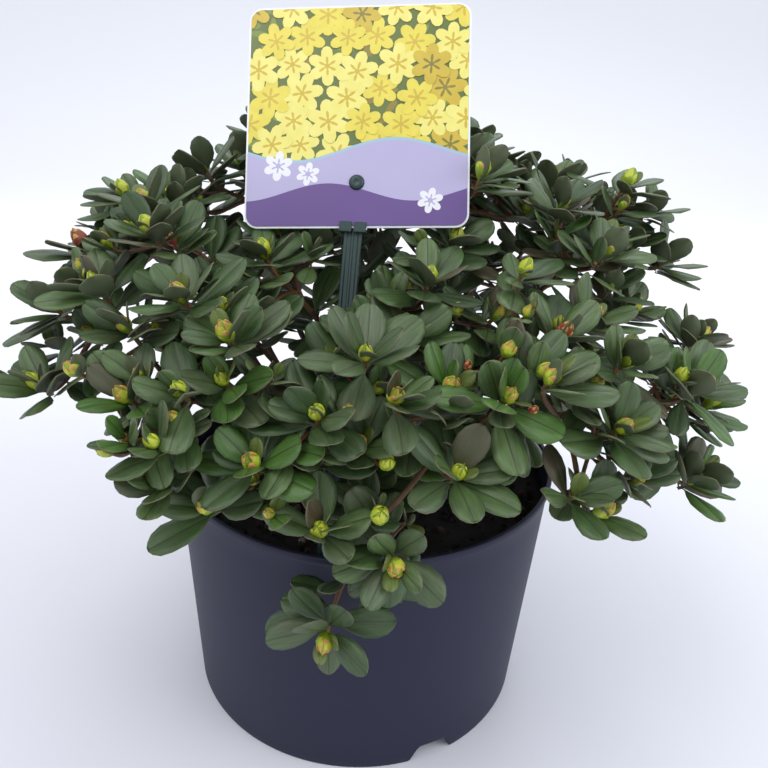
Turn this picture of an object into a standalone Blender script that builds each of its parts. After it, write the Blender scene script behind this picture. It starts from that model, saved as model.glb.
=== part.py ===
"""A dwarf rhododendron in its nursery pot, with its plant label on a stem.

The shrub has a short trunk, one bough to each mass of foliage, and rings of masses:
each mass is a stem that forks into a whorl of shoots, and each shoot ends in a bud
with a whorl of leaves. Metres, +Z up; the origin is on the pot's axis, at its underside.
"""
import bpy
import bmesh
import numpy as np
from math import cos, pi, radians, sin
from mathutils import Euler, Matrix, Vector
from mathutils.bvhtree import BVHTree

NAME = "rhododendron"
SEED = 27
GAP = 0.0003

# The pot: a straight taper of thin plastic on a foot ring, with a raised floor
POT_HEIGHT = 0.130
POT_RIM_R = 0.095
POT_FOOT_R = 0.088
POT_WALL = 0.0013
POT_LIP = 0.0010
POT_FLOOR_Z = 0.0105
POT_HUB_R = 0.020
POT_SIDES = 24
POT_LIP_HEIGHT = 0.004
POT_LIP_STEP = 0.001
HUB_SLOPE = 0.0006
NOTCHES = 3
NOTCH_WIDTH = 0.024
NOTCH_TOP = 0.60
NOTCH_HEIGHT = 0.0095
NOTCH_DEPTH = 0.012
NOTCH_TURN = radians(-63.6)
DRAINS = 6
DRAIN_R = 0.0045
DRAIN_RING_R = 0.068
DRAIN_SIDES = 6

# The soil
SOIL_Z = 0.116
SOIL_CROWN = 0.0015
SOIL_FLAT = 0.7
SOIL_MOUND = 1.6

# The label: a square card pinned to a flat stem, seen from the front along +Y
LABEL_AT = (-0.0103, 0.0100, 0.2928)
LABEL_NODES = ("label_card", "label_pin", "label_stem")
LABEL_TURN = tuple(radians(a) for a in (-28.0, -4.3, -5.0))
CARD_WIDTH = 0.100
CARD_HEIGHT = 0.101
CARD_CORNER_R = 0.006
CARD_THICK = 0.0008
CARD_CLEAR = 0.002
PIN_AT = (0.0004, -0.0302)
PIN_HEAD_R = 0.0035
PIN_HEAD_RISE = 0.0016
PIN_SHANK_R = 0.0015
STEM_LEAN = radians(3.66)
STEM_WIDTH = 0.0080
STEM_THICK = 0.0020
STEM_TOP = 0.010
STEM_FOOT_Z = 0.108
CLIP_WIDTH = 0.0120
CLIP_SPLIT = 0.0010
CLIP_RISE = 0.0040
CLIP_THICK = 0.0010
CLIP_DROP = 0.0006

# The wood
TRUNK_FOOT_R = 0.0088
TRUNK_R = 0.0062
TRUNK_TOP_R = 0.0052
TRUNK_HEIGHT = 0.026
TRUNK_LEAN = (0.0015, 0.0010)
TRUNK_RINGS = (0.0, 0.12, 0.25, 0.5, 0.8, 1.0)
FLARE_SHARE = 0.35
BOUGH_R = 0.0019
BOUGH_TIP_R = 0.0013
BOUGH_RISE = 0.25
BOUGH_SINK = 0.25
TOP_RING = 0.62
BOUGH_SIDES = 5
BOUGH_POINTS = 6
STRAIGHT = 0.002
BOW_PULL = 0.35
TRUNK_SIDES = 20
TWIG_SIDES = 3

# The rings of masses: where each one's last bud stands, by its bearing from +X in
# degrees, its reach from the axis and its height. Turn is where its side shoots start.
RINGS = {
    "low": dict(
        root_z=(0.1215, 0.1265), heart_z=0.150, turn=pi / 4,
        bearing=(-14, -46, -74, -110, -135, -162, 161, 125, 91, 57, 22),
        reach=(0.160, 0.138, 0.122, 0.120, 0.130, 0.142, 0.142, 0.134, 0.132, 0.138, 0.140),
        height=(0.184, 0.200, 0.188, 0.186, 0.200, 0.218, 0.232, 0.202, 0.196, 0.202, 0.248)),
    "mid": dict(
        root_z=(0.1365, 0.1365), heart_z=0.150, turn=0.0,
        bearing=(-91, -44, 2, 47, 92, 137, -178, -137),
        reach=(0.092, 0.104, 0.110, 0.106, 0.098, 0.100, 0.104, 0.102),
        height=(0.222, 0.226, 0.244, 0.262, 0.262, 0.262, 0.254, 0.234)),
    "top": dict(
        root_z=(0.1430, 0.1430), heart_z=0.165, turn=pi / 4,
        bearing=(-62, 28, 118, 208),
        reach=(0.050, 0.052, 0.050, 0.054),
        height=(0.238, 0.276, 0.268, 0.240)),
}
# One mass hangs over the rim at the front: each shoot's bearing, reach and height
HANGING = dict(
    root_bearing=-90, bearing=-88, stem_reach=0.086, stem_height=0.152, root_z=0.1310, lift=0.2,
    buds=((-84, 0.124, 0.150), (-96, 0.121, 0.110)))

# A mass: its stem forks into one middle shoot and a whorl of side shoots
STEM_IN = 0.038
CENTRE_IN = 0.010
FORK_FIRST = 0.0045
FORK_STEP = 0.0024
SHOOTS = 4
SHOOT_OUT = 0.032
SHOOT_BACK = 0.007
SHOOT_R = 0.0010
STEM_R = 0.0012
BUD_R = 0.0021
BUD_TIP_R = 0.0004
BUD_LENGTH = 0.0075
BUD_SEAT = 0.45
WHORL_LENGTH = 0.0040
WHORL_ROOT = 0.0010
WHORL_BELOW = 0.0013
FACING_Z = 0.165
FACING_OUT = 0.58
FACING_UP = 0.60
SET_OFF = 0.6
TURN_SPREAD = 0.35
OUT_SPREAD = (0.92, 1.12)
BACK_SPREAD = 0.004

# A leaf
LEAVES = 5
LEAF_LENGTH = 0.029
LEAF_WIDTH = 0.0155
LEAF_THICK = 0.0009
LEAF_RISE = radians(24)
LEAF_ARCH = 0.10
LEAF_CLEAR = 0.0005
LEAF_SIDES = 5
LEAF_FOLD = 0.18
LEAF_FOOT_POWER = 0.66
LENGTH_SPREAD = (0.86, 1.12)
WHORL_TWIST = 0.2
RISE_SPREAD = 0.1
RISE_FROM = 0.1
RISE_TO = 1.4
# A leaf with no room is laid steeper, then shorter, and then left out
TRIES = ((0.0, 1.0), (0.25, 1.0), (-0.25, 1.0), (0.5, 0.95), (0.75, 0.85), (-0.45, 0.85), (0.3, 0.7))
GUARD_FROM = 0.30
OVERHANG = 0.012
UNION_SOLVER = "EXACT"


def material(name, colour, roughness, metallic=0.0):
    """A plain finish: base colour, roughness and metallic value."""
    mat = bpy.data.materials.new(name)
    mat.use_nodes = True
    shader = mat.node_tree.nodes["Principled BSDF"]
    shader.inputs["Base Color"].default_value = (*colour, 1.0)
    shader.inputs["Roughness"].default_value = roughness
    shader.inputs["Metallic"].default_value = metallic
    mat.diffuse_color = (*colour, 1.0)
    return mat


def add_object(name, mesh, collection, mat=None):
    """Puts a mesh into a collection as one object, with its finish."""
    obj = bpy.data.objects.new(name, mesh)
    if mat is not None:
        mesh.materials.clear()
        mesh.materials.append(mat)
    collection.objects.link(obj)
    return obj


def mesh_from(bm, name):
    """Writes a bmesh to a new mesh and frees it."""
    mesh = bpy.data.meshes.new(name)
    bm.to_mesh(mesh)
    bm.free()
    return mesh


def applied(obj):
    """The object's evaluated mesh, with its modifiers or its bevel in it."""
    graph = bpy.context.evaluated_depsgraph_get()
    return bpy.data.meshes.new_from_object(obj.evaluated_get(graph), depsgraph=graph)


def as_cutter(obj):
    """Marks an object as a guide that is not part of the model."""
    obj.hide_render = True
    obj.display_type = "WIRE"
    return obj


def cut(obj, cutters):
    """Takes the cutters out of an object and applies the cut."""
    for cutter in cutters:
        mod = obj.modifiers.new("cut", "BOOLEAN")
        mod.operation = "DIFFERENCE"
        mod.object = as_cutter(cutter)
    mesh = applied(obj)
    obj.modifiers.clear()
    obj.data = mesh
    return obj


def turned(name, profile, collection, mat, sides):
    """A turned solid: a closed profile of (radius, height) points, screwed round Z."""
    bm = bmesh.new()
    verts = [bm.verts.new((r, 0.0, z)) for r, z in profile]
    for a, b in zip(verts, verts[1:]):
        bm.edges.new((a, b))
    obj = add_object(name, mesh_from(bm, name), collection, mat)
    screw = obj.modifiers.new("turn", "SCREW")
    screw.steps = screw.render_steps = sides
    screw.use_merge_vertices = True
    screw.merge_threshold = 0.00001
    screw.use_normal_calculate = True
    mesh = applied(obj)
    obj.modifiers.clear()
    obj.data = mesh
    bm = bmesh.new()
    bm.from_mesh(mesh)
    bmesh.ops.remove_doubles(bm, verts=bm.verts, dist=0.00001)
    bmesh.ops.recalc_face_normals(bm, faces=bm.faces)
    bm.to_mesh(mesh)
    bm.free()
    return obj


def box(name, size, at, collection, mat=None):
    """A block of a given size, centred on a point."""
    bm = bmesh.new()
    bmesh.ops.create_cube(bm, size=1.0)
    bmesh.ops.scale(bm, vec=size, verts=bm.verts)
    bmesh.ops.translate(bm, vec=at, verts=bm.verts)
    return add_object(name, mesh_from(bm, name), collection, mat)


def ring_of_points(sides):
    """A closed curve round a unit circle, the section of a limb or a twig."""
    curve = bpy.data.curves.new("section", "CURVE")
    spline = curve.splines.new("POLY")
    spline.points.add(sides - 1)
    for i, point in enumerate(spline.points):
        turn = 2 * pi * i / sides
        point.co = (cos(turn), sin(turn), 0.0, 1.0)
    spline.use_cyclic_u = True
    return curve


def limb_mesh(name, points, radii, section, collection):
    """A tapering limb: a curve through the points, with a radius at each, as a closed mesh."""
    curve = bpy.data.curves.new(name, "CURVE")
    curve.dimensions = "3D"
    curve.bevel_mode = "OBJECT"
    curve.bevel_object = section
    curve.use_fill_caps = True
    spline = curve.splines.new("POLY")
    spline.points.add(len(points) - 1)
    for slot, at, radius in zip(spline.points, points, radii):
        slot.co = (*at, 1.0)
        slot.radius = radius
    obj = bpy.data.objects.new(name, curve)
    collection.objects.link(obj)
    mesh = applied(obj)
    bpy.data.objects.remove(obj)
    bpy.data.curves.remove(curve)
    bm = bmesh.new()
    bm.from_mesh(mesh)
    bmesh.ops.remove_doubles(bm, verts=bm.verts, dist=0.00001)
    bmesh.ops.recalc_face_normals(bm, faces=bm.faces)
    bm.to_mesh(mesh)
    bm.free()
    return mesh


def bow(start, start_way, end, end_way, count):
    """Points of a smooth bow that leaves start along one way and comes to end along another."""
    span = (end - start).length
    a = start + start_way.normalized() * span * BOW_PULL
    b = end - end_way.normalized() * span * BOW_PULL
    out = []
    for i in range(count):
        t = i / (count - 1)
        s = 1 - t
        out.append(start * s**3 + a * 3 * s * s * t + b * 3 * s * t * t + end * t**3)
    return out


def across(way):
    """Two unit directions square to a way, the first of them level."""
    way = way.normalized()
    level = Vector((0, 0, 1)).cross(way)
    if level.length < 0.05:
        level = Vector((1, 0, 0))
    level.normalize()
    return level, way.cross(level)


def polar(bearing, reach, height):
    """A point from its bearing in degrees, its reach from the axis and its height."""
    turn = radians(bearing)
    return Vector((reach * cos(turn), reach * sin(turn), height))


def mass_list():
    """Every mass: its names, the bud it reaches out to, its stem, and its bough's height."""
    bearing = HANGING["bearing"]
    stem = polar(bearing, HANGING["stem_reach"], HANGING["stem_height"])
    way = polar(bearing, 1.0, BOUGH_RISE).normalized()
    buds = [polar(*bud) for bud in HANGING["buds"]]
    masses = [dict(
        name="foliage_hanging", bough="bough_hanging", bud=buds[0],
        root_bearing=HANGING["root_bearing"], way=way, turn=None, stem=stem,
        centre=(buds[0] + buds[1]) / 2, root_z=HANGING["root_z"])]
    for ring, r in RINGS.items():
        for i, spot in enumerate(zip(r["bearing"], r["reach"], r["height"])):
            bud = polar(*spot)
            way = (bud - Vector((0, 0, r["heart_z"]))).normalized()
            masses.append(dict(
                name=f"foliage_{ring}_{i + 1:02d}", bough=f"bough_{ring}_{i + 1:02d}",
                root_bearing=spot[0], bud=bud, way=way, turn=r["turn"],
                stem=bud - way * STEM_IN,
                centre=bud - way * CENTRE_IN, root_z=r["root_z"][i % 2]))
    return masses


def shoots_of(mass, rng):
    """The mass's shoots by its rule: the stem runs on to a bud, with side shoots round it.

    Each is (start, way it starts in, bud, way its whorl faces).
    """
    level, rise = across(mass["way"])
    hanging = mass["turn"] is None
    if hanging:
        buds = [polar(*spot) for spot in HANGING["buds"]]
    else:
        buds = [mass["bud"]]
        for i in range(SHOOTS):
            turn = mass["turn"] + 2 * pi * i / SHOOTS + rng.uniform(-TURN_SPREAD, TURN_SPREAD)
            out_r = SHOOT_OUT * rng.uniform(*OUT_SPREAD)
            back = SHOOT_BACK + rng.uniform(-BACK_SPREAD, BACK_SPREAD)
            sideways = level * cos(turn) + rise * sin(turn)
            buds.append(mass["bud"] + sideways * out_r - mass["way"] * back)
    out = []
    for i, bud in enumerate(buds):
        start = mass["stem"] + mass["way"] * (FORK_FIRST + FORK_STEP * (i - 1) if i else 0.0)
        outward = (bud - Vector((0, 0, FACING_Z))).normalized()
        facing = (outward * FACING_OUT + Vector((0, 0, FACING_UP))).normalized()
        if hanging:
            facing = (outward + Vector((0, 0, HANGING["lift"]))).normalized()
        start_way = (bud - start).normalized() * SET_OFF + mass["way"] * (1 - SET_OFF if i else 1)
        out.append((start, start_way, bud, facing))
    return out


def shoot_points(shoot):
    """The shoot's path and radii, ending in its plump bud."""
    start, start_way, bud, facing = shoot
    whorl = bud - facing * BUD_LENGTH * BUD_SEAT
    low = whorl - facing * (WHORL_BELOW + WHORL_LENGTH + WHORL_ROOT)
    points = bow(start, start_way, low, facing, 3)
    points += [whorl, whorl + facing * BUD_LENGTH * 0.5, whorl + facing * BUD_LENGTH]
    radii = [STEM_R, SHOOT_R, SHOOT_R, SHOOT_R, BUD_R, BUD_TIP_R]
    return points, radii


def leaf_template():
    """A leaf lying along +X with its foot at the origin, from a five-sided sphere.

    The ring of the sphere becomes the outline, drawn out to a narrow foot, and its two
    poles stay as the blade's upper and lower faces. Unit length, width and thickness.
    """
    bm = bmesh.new()
    turn = Matrix.Rotation(pi / 2, 4, "Z")
    bmesh.ops.create_uvsphere(bm, u_segments=LEAF_SIDES, v_segments=2, radius=1.0, matrix=turn)
    for v in bm.verts:
        along = max((v.co.x + 1) / 2, 0.0) ** LEAF_FOOT_POWER
        v.co = Vector((along, v.co.y / 2, v.co.z / 2))
    bmesh.ops.recalc_face_normals(bm, faces=bm.faces)
    verts = [v.co.copy() for v in bm.verts]
    faces = [tuple(v.index for v in f.verts) for f in bm.faces]
    bm.free()
    return verts, faces


def leaf_verts(template, root, way, up, length, guard=0.0, begin=0.0):
    """The template bent, sized and laid at a shoot.

    A guard makes it larger all round, and may begin some way along the leaf.
    """
    side = up.cross(way)
    width = LEAF_WIDTH * length / LEAF_LENGTH + 2 * guard
    out = []
    for co in template:
        along = max(co.x, begin)
        droop = LEAF_ARCH * length * along * along
        lift = co.z * (LEAF_THICK + 2 * guard) + abs(co.y) * width * LEAF_FOLD
        reach = along * length + (guard if along > 0.9 else 0.0)
        out.append(root + way * reach + side * co.y * width + up * (lift - droop))
    return out


class Crowd:
    """What already stands in the crown, to keep new leaves and twigs off it."""

    def __init__(self):
        self.trees = []
        self.centres = []
        self.radii = []
        self.owners = []

    def add(self, verts, faces, owner):
        """Takes in one solid, under its owner's name."""
        cloud = np.array([tuple(v) for v in verts])
        centre = (cloud.min(axis=0) + cloud.max(axis=0)) / 2
        self.trees.append(BVHTree.FromPolygons([tuple(v) for v in verts], faces))
        self.centres.append(centre)
        self.radii.append(float(np.linalg.norm(cloud - centre, axis=1).max()))
        self.owners.append(owner)

    def meets(self, verts, faces, owner=None):
        """Whether a solid touches anything, its owner's own pieces left aside."""
        cloud = np.array([tuple(v) for v in verts])
        centre = (cloud.min(axis=0) + cloud.max(axis=0)) / 2
        radius = float(np.linalg.norm(cloud - centre, axis=1).max())
        apart = np.linalg.norm(np.array(self.centres) - centre, axis=1)
        near = np.nonzero(apart < np.array(self.radii) + radius)[0]
        tree = None
        for i in near:
            if owner is not None and self.owners[i] == owner:
                continue
            tree = tree or BVHTree.FromPolygons([tuple(v) for v in verts], faces)
            if tree.overlap(self.trees[i]):
                return True
        return False


def before_card(verts, label_inverse):
    """Whether a leaf would stand before the card's face and hide it."""
    for v in verts:
        at = label_inverse @ v
        beside = max(abs(at.x) - CARD_WIDTH / 2, abs(at.z) - CARD_HEIGHT / 2)
        if beside < CARD_CLEAR and -CARD_WIDTH < at.y < 0:
            return True
    return False


def in_space(verts, mass, masses):
    """Whether points lie in the mass's own space, or lean past its edge by little."""
    own = mass["centre"]
    for other in masses:
        if other is mass:
            continue
        wall = other["centre"] - own
        apart = wall.length
        wall /= apart
        if any((v - own).dot(wall) > apart / 2 + OVERHANG for v in verts):
            return False
    return True


def mesh_parts(mesh):
    """A mesh's corners and faces as plain lists."""
    return [v.co.copy() for v in mesh.vertices], [tuple(p.vertices) for p in mesh.polygons]


def mesh_of(name, verts, faces):
    """A mesh from corners and faces."""
    mesh = bpy.data.meshes.new(name)
    mesh.from_pydata([tuple(v) for v in verts], [], faces)
    mesh.validate()
    return mesh


def fused(name, pieces, collection, mat):
    """One solid from a mass's stem, shoots and leaves: a single union on a collection."""
    group = bpy.data.collections.new(name + "_pieces")
    bpy.context.scene.collection.children.link(group)
    base = add_object(name, pieces[0], collection, mat)
    for i, mesh in enumerate(pieces[1:]):
        add_object(f"{name}_piece_{i}", mesh, group)
    mod = base.modifiers.new("join", "BOOLEAN")
    mod.operation = "UNION"
    mod.operand_type = "COLLECTION"
    mod.collection = group
    mod.solver = UNION_SOLVER
    mesh = applied(base)
    base.modifiers.clear()
    base.data = mesh
    for obj in list(group.objects):
        bpy.data.objects.remove(obj)
    bpy.data.collections.remove(group)
    drop_scraps(mesh)
    mesh.materials.clear()
    mesh.materials.append(mat)
    return base


def drop_scraps(mesh):
    """Keeps a mesh's largest body: loose scraps go, and a sealed hollow is filled."""
    bm = bmesh.new()
    bm.from_mesh(mesh)
    left = set(bm.verts)
    bodies = []
    while left:
        seed = left.pop()
        body, fringe = {seed}, [seed]
        while fringe:
            for edge in fringe.pop().link_edges:
                for v in edge.verts:
                    if v not in body:
                        body.add(v)
                        fringe.append(v)
        left -= body
        bodies.append(body)
    bodies.sort(key=len)
    for body in bodies[:-1]:
        bmesh.ops.delete(bm, geom=list(body), context="VERTS")
    bmesh.ops.triangulate(bm, faces=bm.faces)
    bm.to_mesh(mesh)
    bm.free()


def leaves_of(mass, index, shoots, masses, crowd, template, faces):
    """Lays a whorl of leaves on each shoot, and skips a leaf that has no room."""
    label_inverse = label_matrix().inverted()
    rng = np.random.default_rng([SEED, 100 + index])
    pieces = []
    for shoot in shoots:
        facing = shoot[3]
        level, rise = across(facing)
        phase = rng.uniform(0, 2 * pi)
        whorl = shoot[2] - facing * BUD_LENGTH * BUD_SEAT
        for i in range(LEAVES):
            turn = phase + 4 * pi * i / LEAVES + rng.uniform(-WHORL_TWIST, WHORL_TWIST)
            outward = level * cos(turn) + rise * sin(turn)
            length = LEAF_LENGTH * rng.uniform(*LENGTH_SPREAD)
            inward = i / (LEAVES - 1)
            rise_by = LEAF_RISE * (RISE_FROM + (RISE_TO - RISE_FROM) * inward)
            rise_by += rng.uniform(-RISE_SPREAD, RISE_SPREAD)
            root = whorl - facing * (WHORL_BELOW + WHORL_LENGTH * (1 - inward))
            for lift, share in TRIES:
                tilt = rise_by + lift
                way = outward * cos(tilt) + facing * sin(tilt)
                up = facing * cos(tilt) - outward * sin(tilt)
                laid = (template, root, way, up, length * share)
                guard = leaf_verts(*laid, LEAF_CLEAR)
                blade = leaf_verts(*laid, LEAF_CLEAR, GUARD_FROM)
                if before_card(guard, label_inverse) or not in_space(guard, mass, masses):
                    continue
                if not crowd.meets(guard, faces, mass["name"]) and not crowd.meets(blade, faces):
                    verts = leaf_verts(*laid)
                    crowd.add(guard, faces, mass["name"])
                    pieces.append(mesh_of("leaf", verts, faces))
                    break
    return pieces


def make_pot(collection, mat, cutters):
    """The pot: one turned wall with a lip, a raised floor and a hub, notched and drained."""
    floor_top = POT_FLOOR_Z + POT_WALL
    profile = pot_outside() + [
        (POT_RIM_R - POT_WALL, POT_HEIGHT),
        (pot_radius(floor_top) - POT_WALL, floor_top),
        (POT_HUB_R + POT_WALL, floor_top),
        (POT_HUB_R - HUB_SLOPE, POT_WALL),
        (0.0, POT_WALL),
    ]
    pot = turned("pot", profile, collection, mat, POT_SIDES)
    tools = []
    for i in range(NOTCHES):
        size = (NOTCH_DEPTH, NOTCH_WIDTH, NOTCH_HEIGHT)
        notch = box(f"notch_{i}", size, (POT_FOOT_R, 0, NOTCH_HEIGHT / 2), cutters)
        for vert in notch.data.vertices:
            vert.co.y *= NOTCH_TOP if vert.co.z > 0 else 2 - NOTCH_TOP
            vert.co.z = NOTCH_HEIGHT if vert.co.z > 0 else -NOTCH_HEIGHT
        notch.data.transform(Matrix.Rotation(NOTCH_TURN + 2 * pi * i / NOTCHES, 4, "Z"))
        tools.append(notch)
    for i in range(DRAINS):
        turn = NOTCH_TURN + 2 * pi * i / DRAINS
        bm = bmesh.new()
        bmesh.ops.create_cone(bm, cap_ends=True, segments=DRAIN_SIDES, radius1=DRAIN_R,
                              radius2=DRAIN_R, depth=0.010)
        at = (DRAIN_RING_R * cos(turn), DRAIN_RING_R * sin(turn), POT_FLOOR_Z)
        bmesh.ops.translate(bm, vec=at, verts=bm.verts)
        tools.append(add_object(f"drain_{i}", mesh_from(bm, "drain"), cutters))
    return cut(pot, tools)


def pot_radius(z):
    """The outer radius of the pot's wall at a height."""
    return POT_FOOT_R + (POT_RIM_R - POT_FOOT_R) * z / POT_HEIGHT


def pot_outside():
    """The pot's profile from the hub under the floor, out to the foot and up to the lip."""
    lip_z = POT_HEIGHT - POT_LIP_HEIGHT
    return [
        (0.0, 0.0),
        (POT_HUB_R, 0.0),
        (POT_HUB_R + HUB_SLOPE, POT_FLOOR_Z),
        (pot_radius(POT_FLOOR_Z) - 2 * POT_WALL, POT_FLOOR_Z),
        (POT_FOOT_R - 2 * POT_WALL, 0.0),
        (POT_FOOT_R, 0.0),
        (pot_radius(lip_z), lip_z),
        (pot_radius(lip_z) + POT_LIP, lip_z + POT_LIP_STEP),
        (POT_RIM_R + POT_LIP, POT_HEIGHT),
    ]


def make_soil(collection, mat, cutters, label):
    """The root ball and potting soil: it fills the pot, and the label's stem goes into it."""
    floor = POT_FLOOR_Z + POT_WALL + GAP
    wall = POT_WALL + GAP
    profile = [
        (0.0, POT_WALL + GAP),
        (POT_HUB_R - HUB_SLOPE - GAP, POT_WALL + GAP),
        (POT_HUB_R + POT_WALL - GAP, floor),
        (pot_radius(floor) - wall, floor),
        (pot_radius(SOIL_Z) - wall, SOIL_Z),
        (pot_radius(SOIL_Z) * SOIL_FLAT, SOIL_Z + SOIL_CROWN),
        (TRUNK_FOOT_R * SOIL_MOUND, SOIL_Z + SOIL_CROWN),
        (0.0, SOIL_Z + SOIL_CROWN),
    ]
    soil = turned("soil", profile, collection, mat, POT_SIDES)
    size = (STEM_WIDTH + 2 * GAP, STEM_THICK + 2 * GAP, CARD_HEIGHT)
    slot = box("stem_slot", size, (0, 0, 0), cutters)
    slot.data.transform(stem_matrix(label, stem_foot(label) + CARD_HEIGHT / 2 - GAP))
    return cut(soil, [slot])


def label_matrix():
    """The label's place: its card faces the front, leaning back."""
    return Matrix.Translation(LABEL_AT) @ Euler(LABEL_TURN, "XYZ").to_matrix().to_4x4()


def stem_matrix(label, along):
    """A place on the stem's axis, measured down from the pin as a negative distance."""
    lean = Matrix.Rotation(STEM_LEAN, 4, "Y")
    behind = CARD_THICK / 2 + GAP + STEM_THICK / 2
    pin = Matrix.Translation((PIN_AT[0], 0, PIN_AT[1]))
    return label @ pin @ lean @ Matrix.Translation((0, behind, along))


def stem_foot(label):
    """How far down from the pin the stem ends, at its foot's height."""
    here = stem_matrix(label, 0).to_translation()
    below = stem_matrix(label, -1).to_translation()
    return -(here.z - STEM_FOOT_Z) / (here.z - below.z)


def make_label(collection, mats, cutters):
    """The label: card with round corners, pin, and the stem whose clip holds the card's edge."""
    label = label_matrix()
    make_card(collection, mats["card"], cutters, label)
    make_pin(collection, mats["stem"], label)
    make_stem(collection, mats["stem"], label)
    return label


def make_card(collection, mat, cutters, label):
    """The card: a flat outline with round corners and a hole for the pin."""
    curve = bpy.data.curves.new("card", "CURVE")
    curve.dimensions = "2D"
    curve.fill_mode = "BOTH"
    curve.extrude = CARD_THICK / 2
    spline = curve.splines.new("POLY")
    points = []
    for corner in range(4):
        turn = pi / 4 + corner * pi / 2
        at_x = (CARD_WIDTH / 2 - CARD_CORNER_R) * (1 if cos(turn) > 0 else -1)
        at_y = (CARD_HEIGHT / 2 - CARD_CORNER_R) * (1 if sin(turn) > 0 else -1)
        for step in range(-2, 3):
            a = turn + step * pi / 8
            points.append((at_x + CARD_CORNER_R * cos(a), at_y + CARD_CORNER_R * sin(a)))
    spline.points.add(len(points) - 1)
    for slot, (x, y) in zip(spline.points, points):
        slot.co = (x, y, 0, 1)
    spline.use_cyclic_u = True
    flat = bpy.data.objects.new("card_outline", curve)
    collection.objects.link(flat)
    mesh = applied(flat)
    bpy.data.objects.remove(flat)
    bm = bmesh.new()
    bm.from_mesh(mesh)
    bmesh.ops.remove_doubles(bm, verts=bm.verts, dist=0.00001)
    bmesh.ops.recalc_face_normals(bm, faces=bm.faces)
    bmesh.ops.rotate(bm, matrix=Matrix.Rotation(pi / 2, 3, "X"), verts=bm.verts)
    bm.to_mesh(mesh)
    bm.free()
    card = add_object("label_card", mesh, collection, mat)
    hole = round_bar("pin_hole", PIN_SHANK_R + GAP, 0.01, 12, cutters)
    hole.data.transform(Matrix.Translation((PIN_AT[0], 0, PIN_AT[1])))
    cut(card, [hole])
    card.data.transform(label)


def round_bar(name, radius, length, sides, collection):
    """A round bar along Y, centred on the origin."""
    bm = bmesh.new()
    bmesh.ops.create_cone(bm, cap_ends=True, segments=sides, radius1=radius,
                          radius2=radius, depth=length)
    bmesh.ops.rotate(bm, matrix=Matrix.Rotation(pi / 2, 3, "X"), verts=bm.verts)
    return add_object(name, mesh_from(bm, name), collection)


def make_pin(collection, mat, label):
    """The pin: a low domed head on the card's face and a shank through the card."""
    back = CARD_THICK / 2
    front = CARD_THICK / 2 + GAP
    profile = [
        (0.0, -back),
        (PIN_SHANK_R, -back),
        (PIN_SHANK_R, front),
        (PIN_HEAD_R, front),
        (PIN_HEAD_R * 0.9, front + PIN_HEAD_RISE * 0.6),
        (PIN_HEAD_R * 0.6, front + PIN_HEAD_RISE * 0.95),
        (0.0, front + PIN_HEAD_RISE),
    ]
    pin = turned("label_pin", profile, collection, mat, 16)
    pin.data.transform(Matrix.Rotation(pi / 2, 4, "X"))
    pin.data.transform(label @ Matrix.Translation((PIN_AT[0], 0, PIN_AT[1])))


def make_stem(collection, mat, label):
    """The stem: a flat bar behind the card, with two hooks round the card's lower edge."""
    foot = stem_foot(label)
    bottom = -CARD_HEIGHT / 2 - PIN_AT[1]
    bar = box("label_stem", (STEM_WIDTH, STEM_THICK, STEM_TOP - foot),
              (0, 0, (STEM_TOP + foot) / 2), collection, mat)
    reach = STEM_THICK + CARD_THICK + 2 * GAP + CLIP_THICK
    middle = STEM_THICK / 2 - reach / 2
    under = bottom - GAP - CLIP_THICK / 2 - CLIP_DROP
    hooks = bpy.data.collections.new("hooks")
    bpy.context.scene.collection.children.link(hooks)
    lug = (CLIP_WIDTH - CLIP_SPLIT) / 2
    for side in (-1, 1):
        x = side * (CLIP_SPLIT + lug) / 2
        box("hook_under", (lug, reach, CLIP_THICK), (x, middle, under), hooks)
        box("hook_front", (lug, CLIP_THICK, CLIP_RISE),
            (x, STEM_THICK / 2 - reach + CLIP_THICK / 2, under + CLIP_RISE / 2), hooks)
    mod = bar.modifiers.new("join", "BOOLEAN")
    mod.operation = "UNION"
    mod.operand_type = "COLLECTION"
    mod.collection = hooks
    mesh = applied(bar)
    bar.modifiers.clear()
    bar.data = mesh
    mesh.materials.clear()
    mesh.materials.append(mat)
    for obj in list(hooks.objects):
        bpy.data.objects.remove(obj)
    bpy.data.collections.remove(hooks)
    bar.data.transform(stem_matrix(label, 0))


def trunk_at(z):
    """The trunk's centre at a height above the soil."""
    share = (z - SOIL_Z) / TRUNK_HEIGHT
    return Vector((TRUNK_LEAN[0] * share, TRUNK_LEAN[1] * share, z))


def trunk_radius(z):
    """The trunk's radius at a height: a root flare at the soil, then a slow taper."""
    share = (z - SOIL_Z) / TRUNK_HEIGHT
    flare = (TRUNK_FOOT_R - TRUNK_R) * max(0.0, 1 - share / FLARE_SHARE) ** 2
    return TRUNK_R + (TRUNK_TOP_R - TRUNK_R) * share + flare


def make_trunk(collection, mat, section):
    """The trunk: short, leaning a little, flared at the soil and cut flat there."""
    foot = SOIL_Z + SOIL_CROWN + GAP
    top = SOIL_Z + TRUNK_HEIGHT
    heights = [foot + (top - foot) * share for share in TRUNK_RINGS]
    points = [trunk_at(z) for z in heights]
    points[1].xy = points[0].xy
    points[-2].xy = points[-1].xy
    mesh = limb_mesh("trunk", points, [trunk_radius(z) for z in heights], section, collection)
    return add_object("trunk", mesh, collection, mat)


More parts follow.
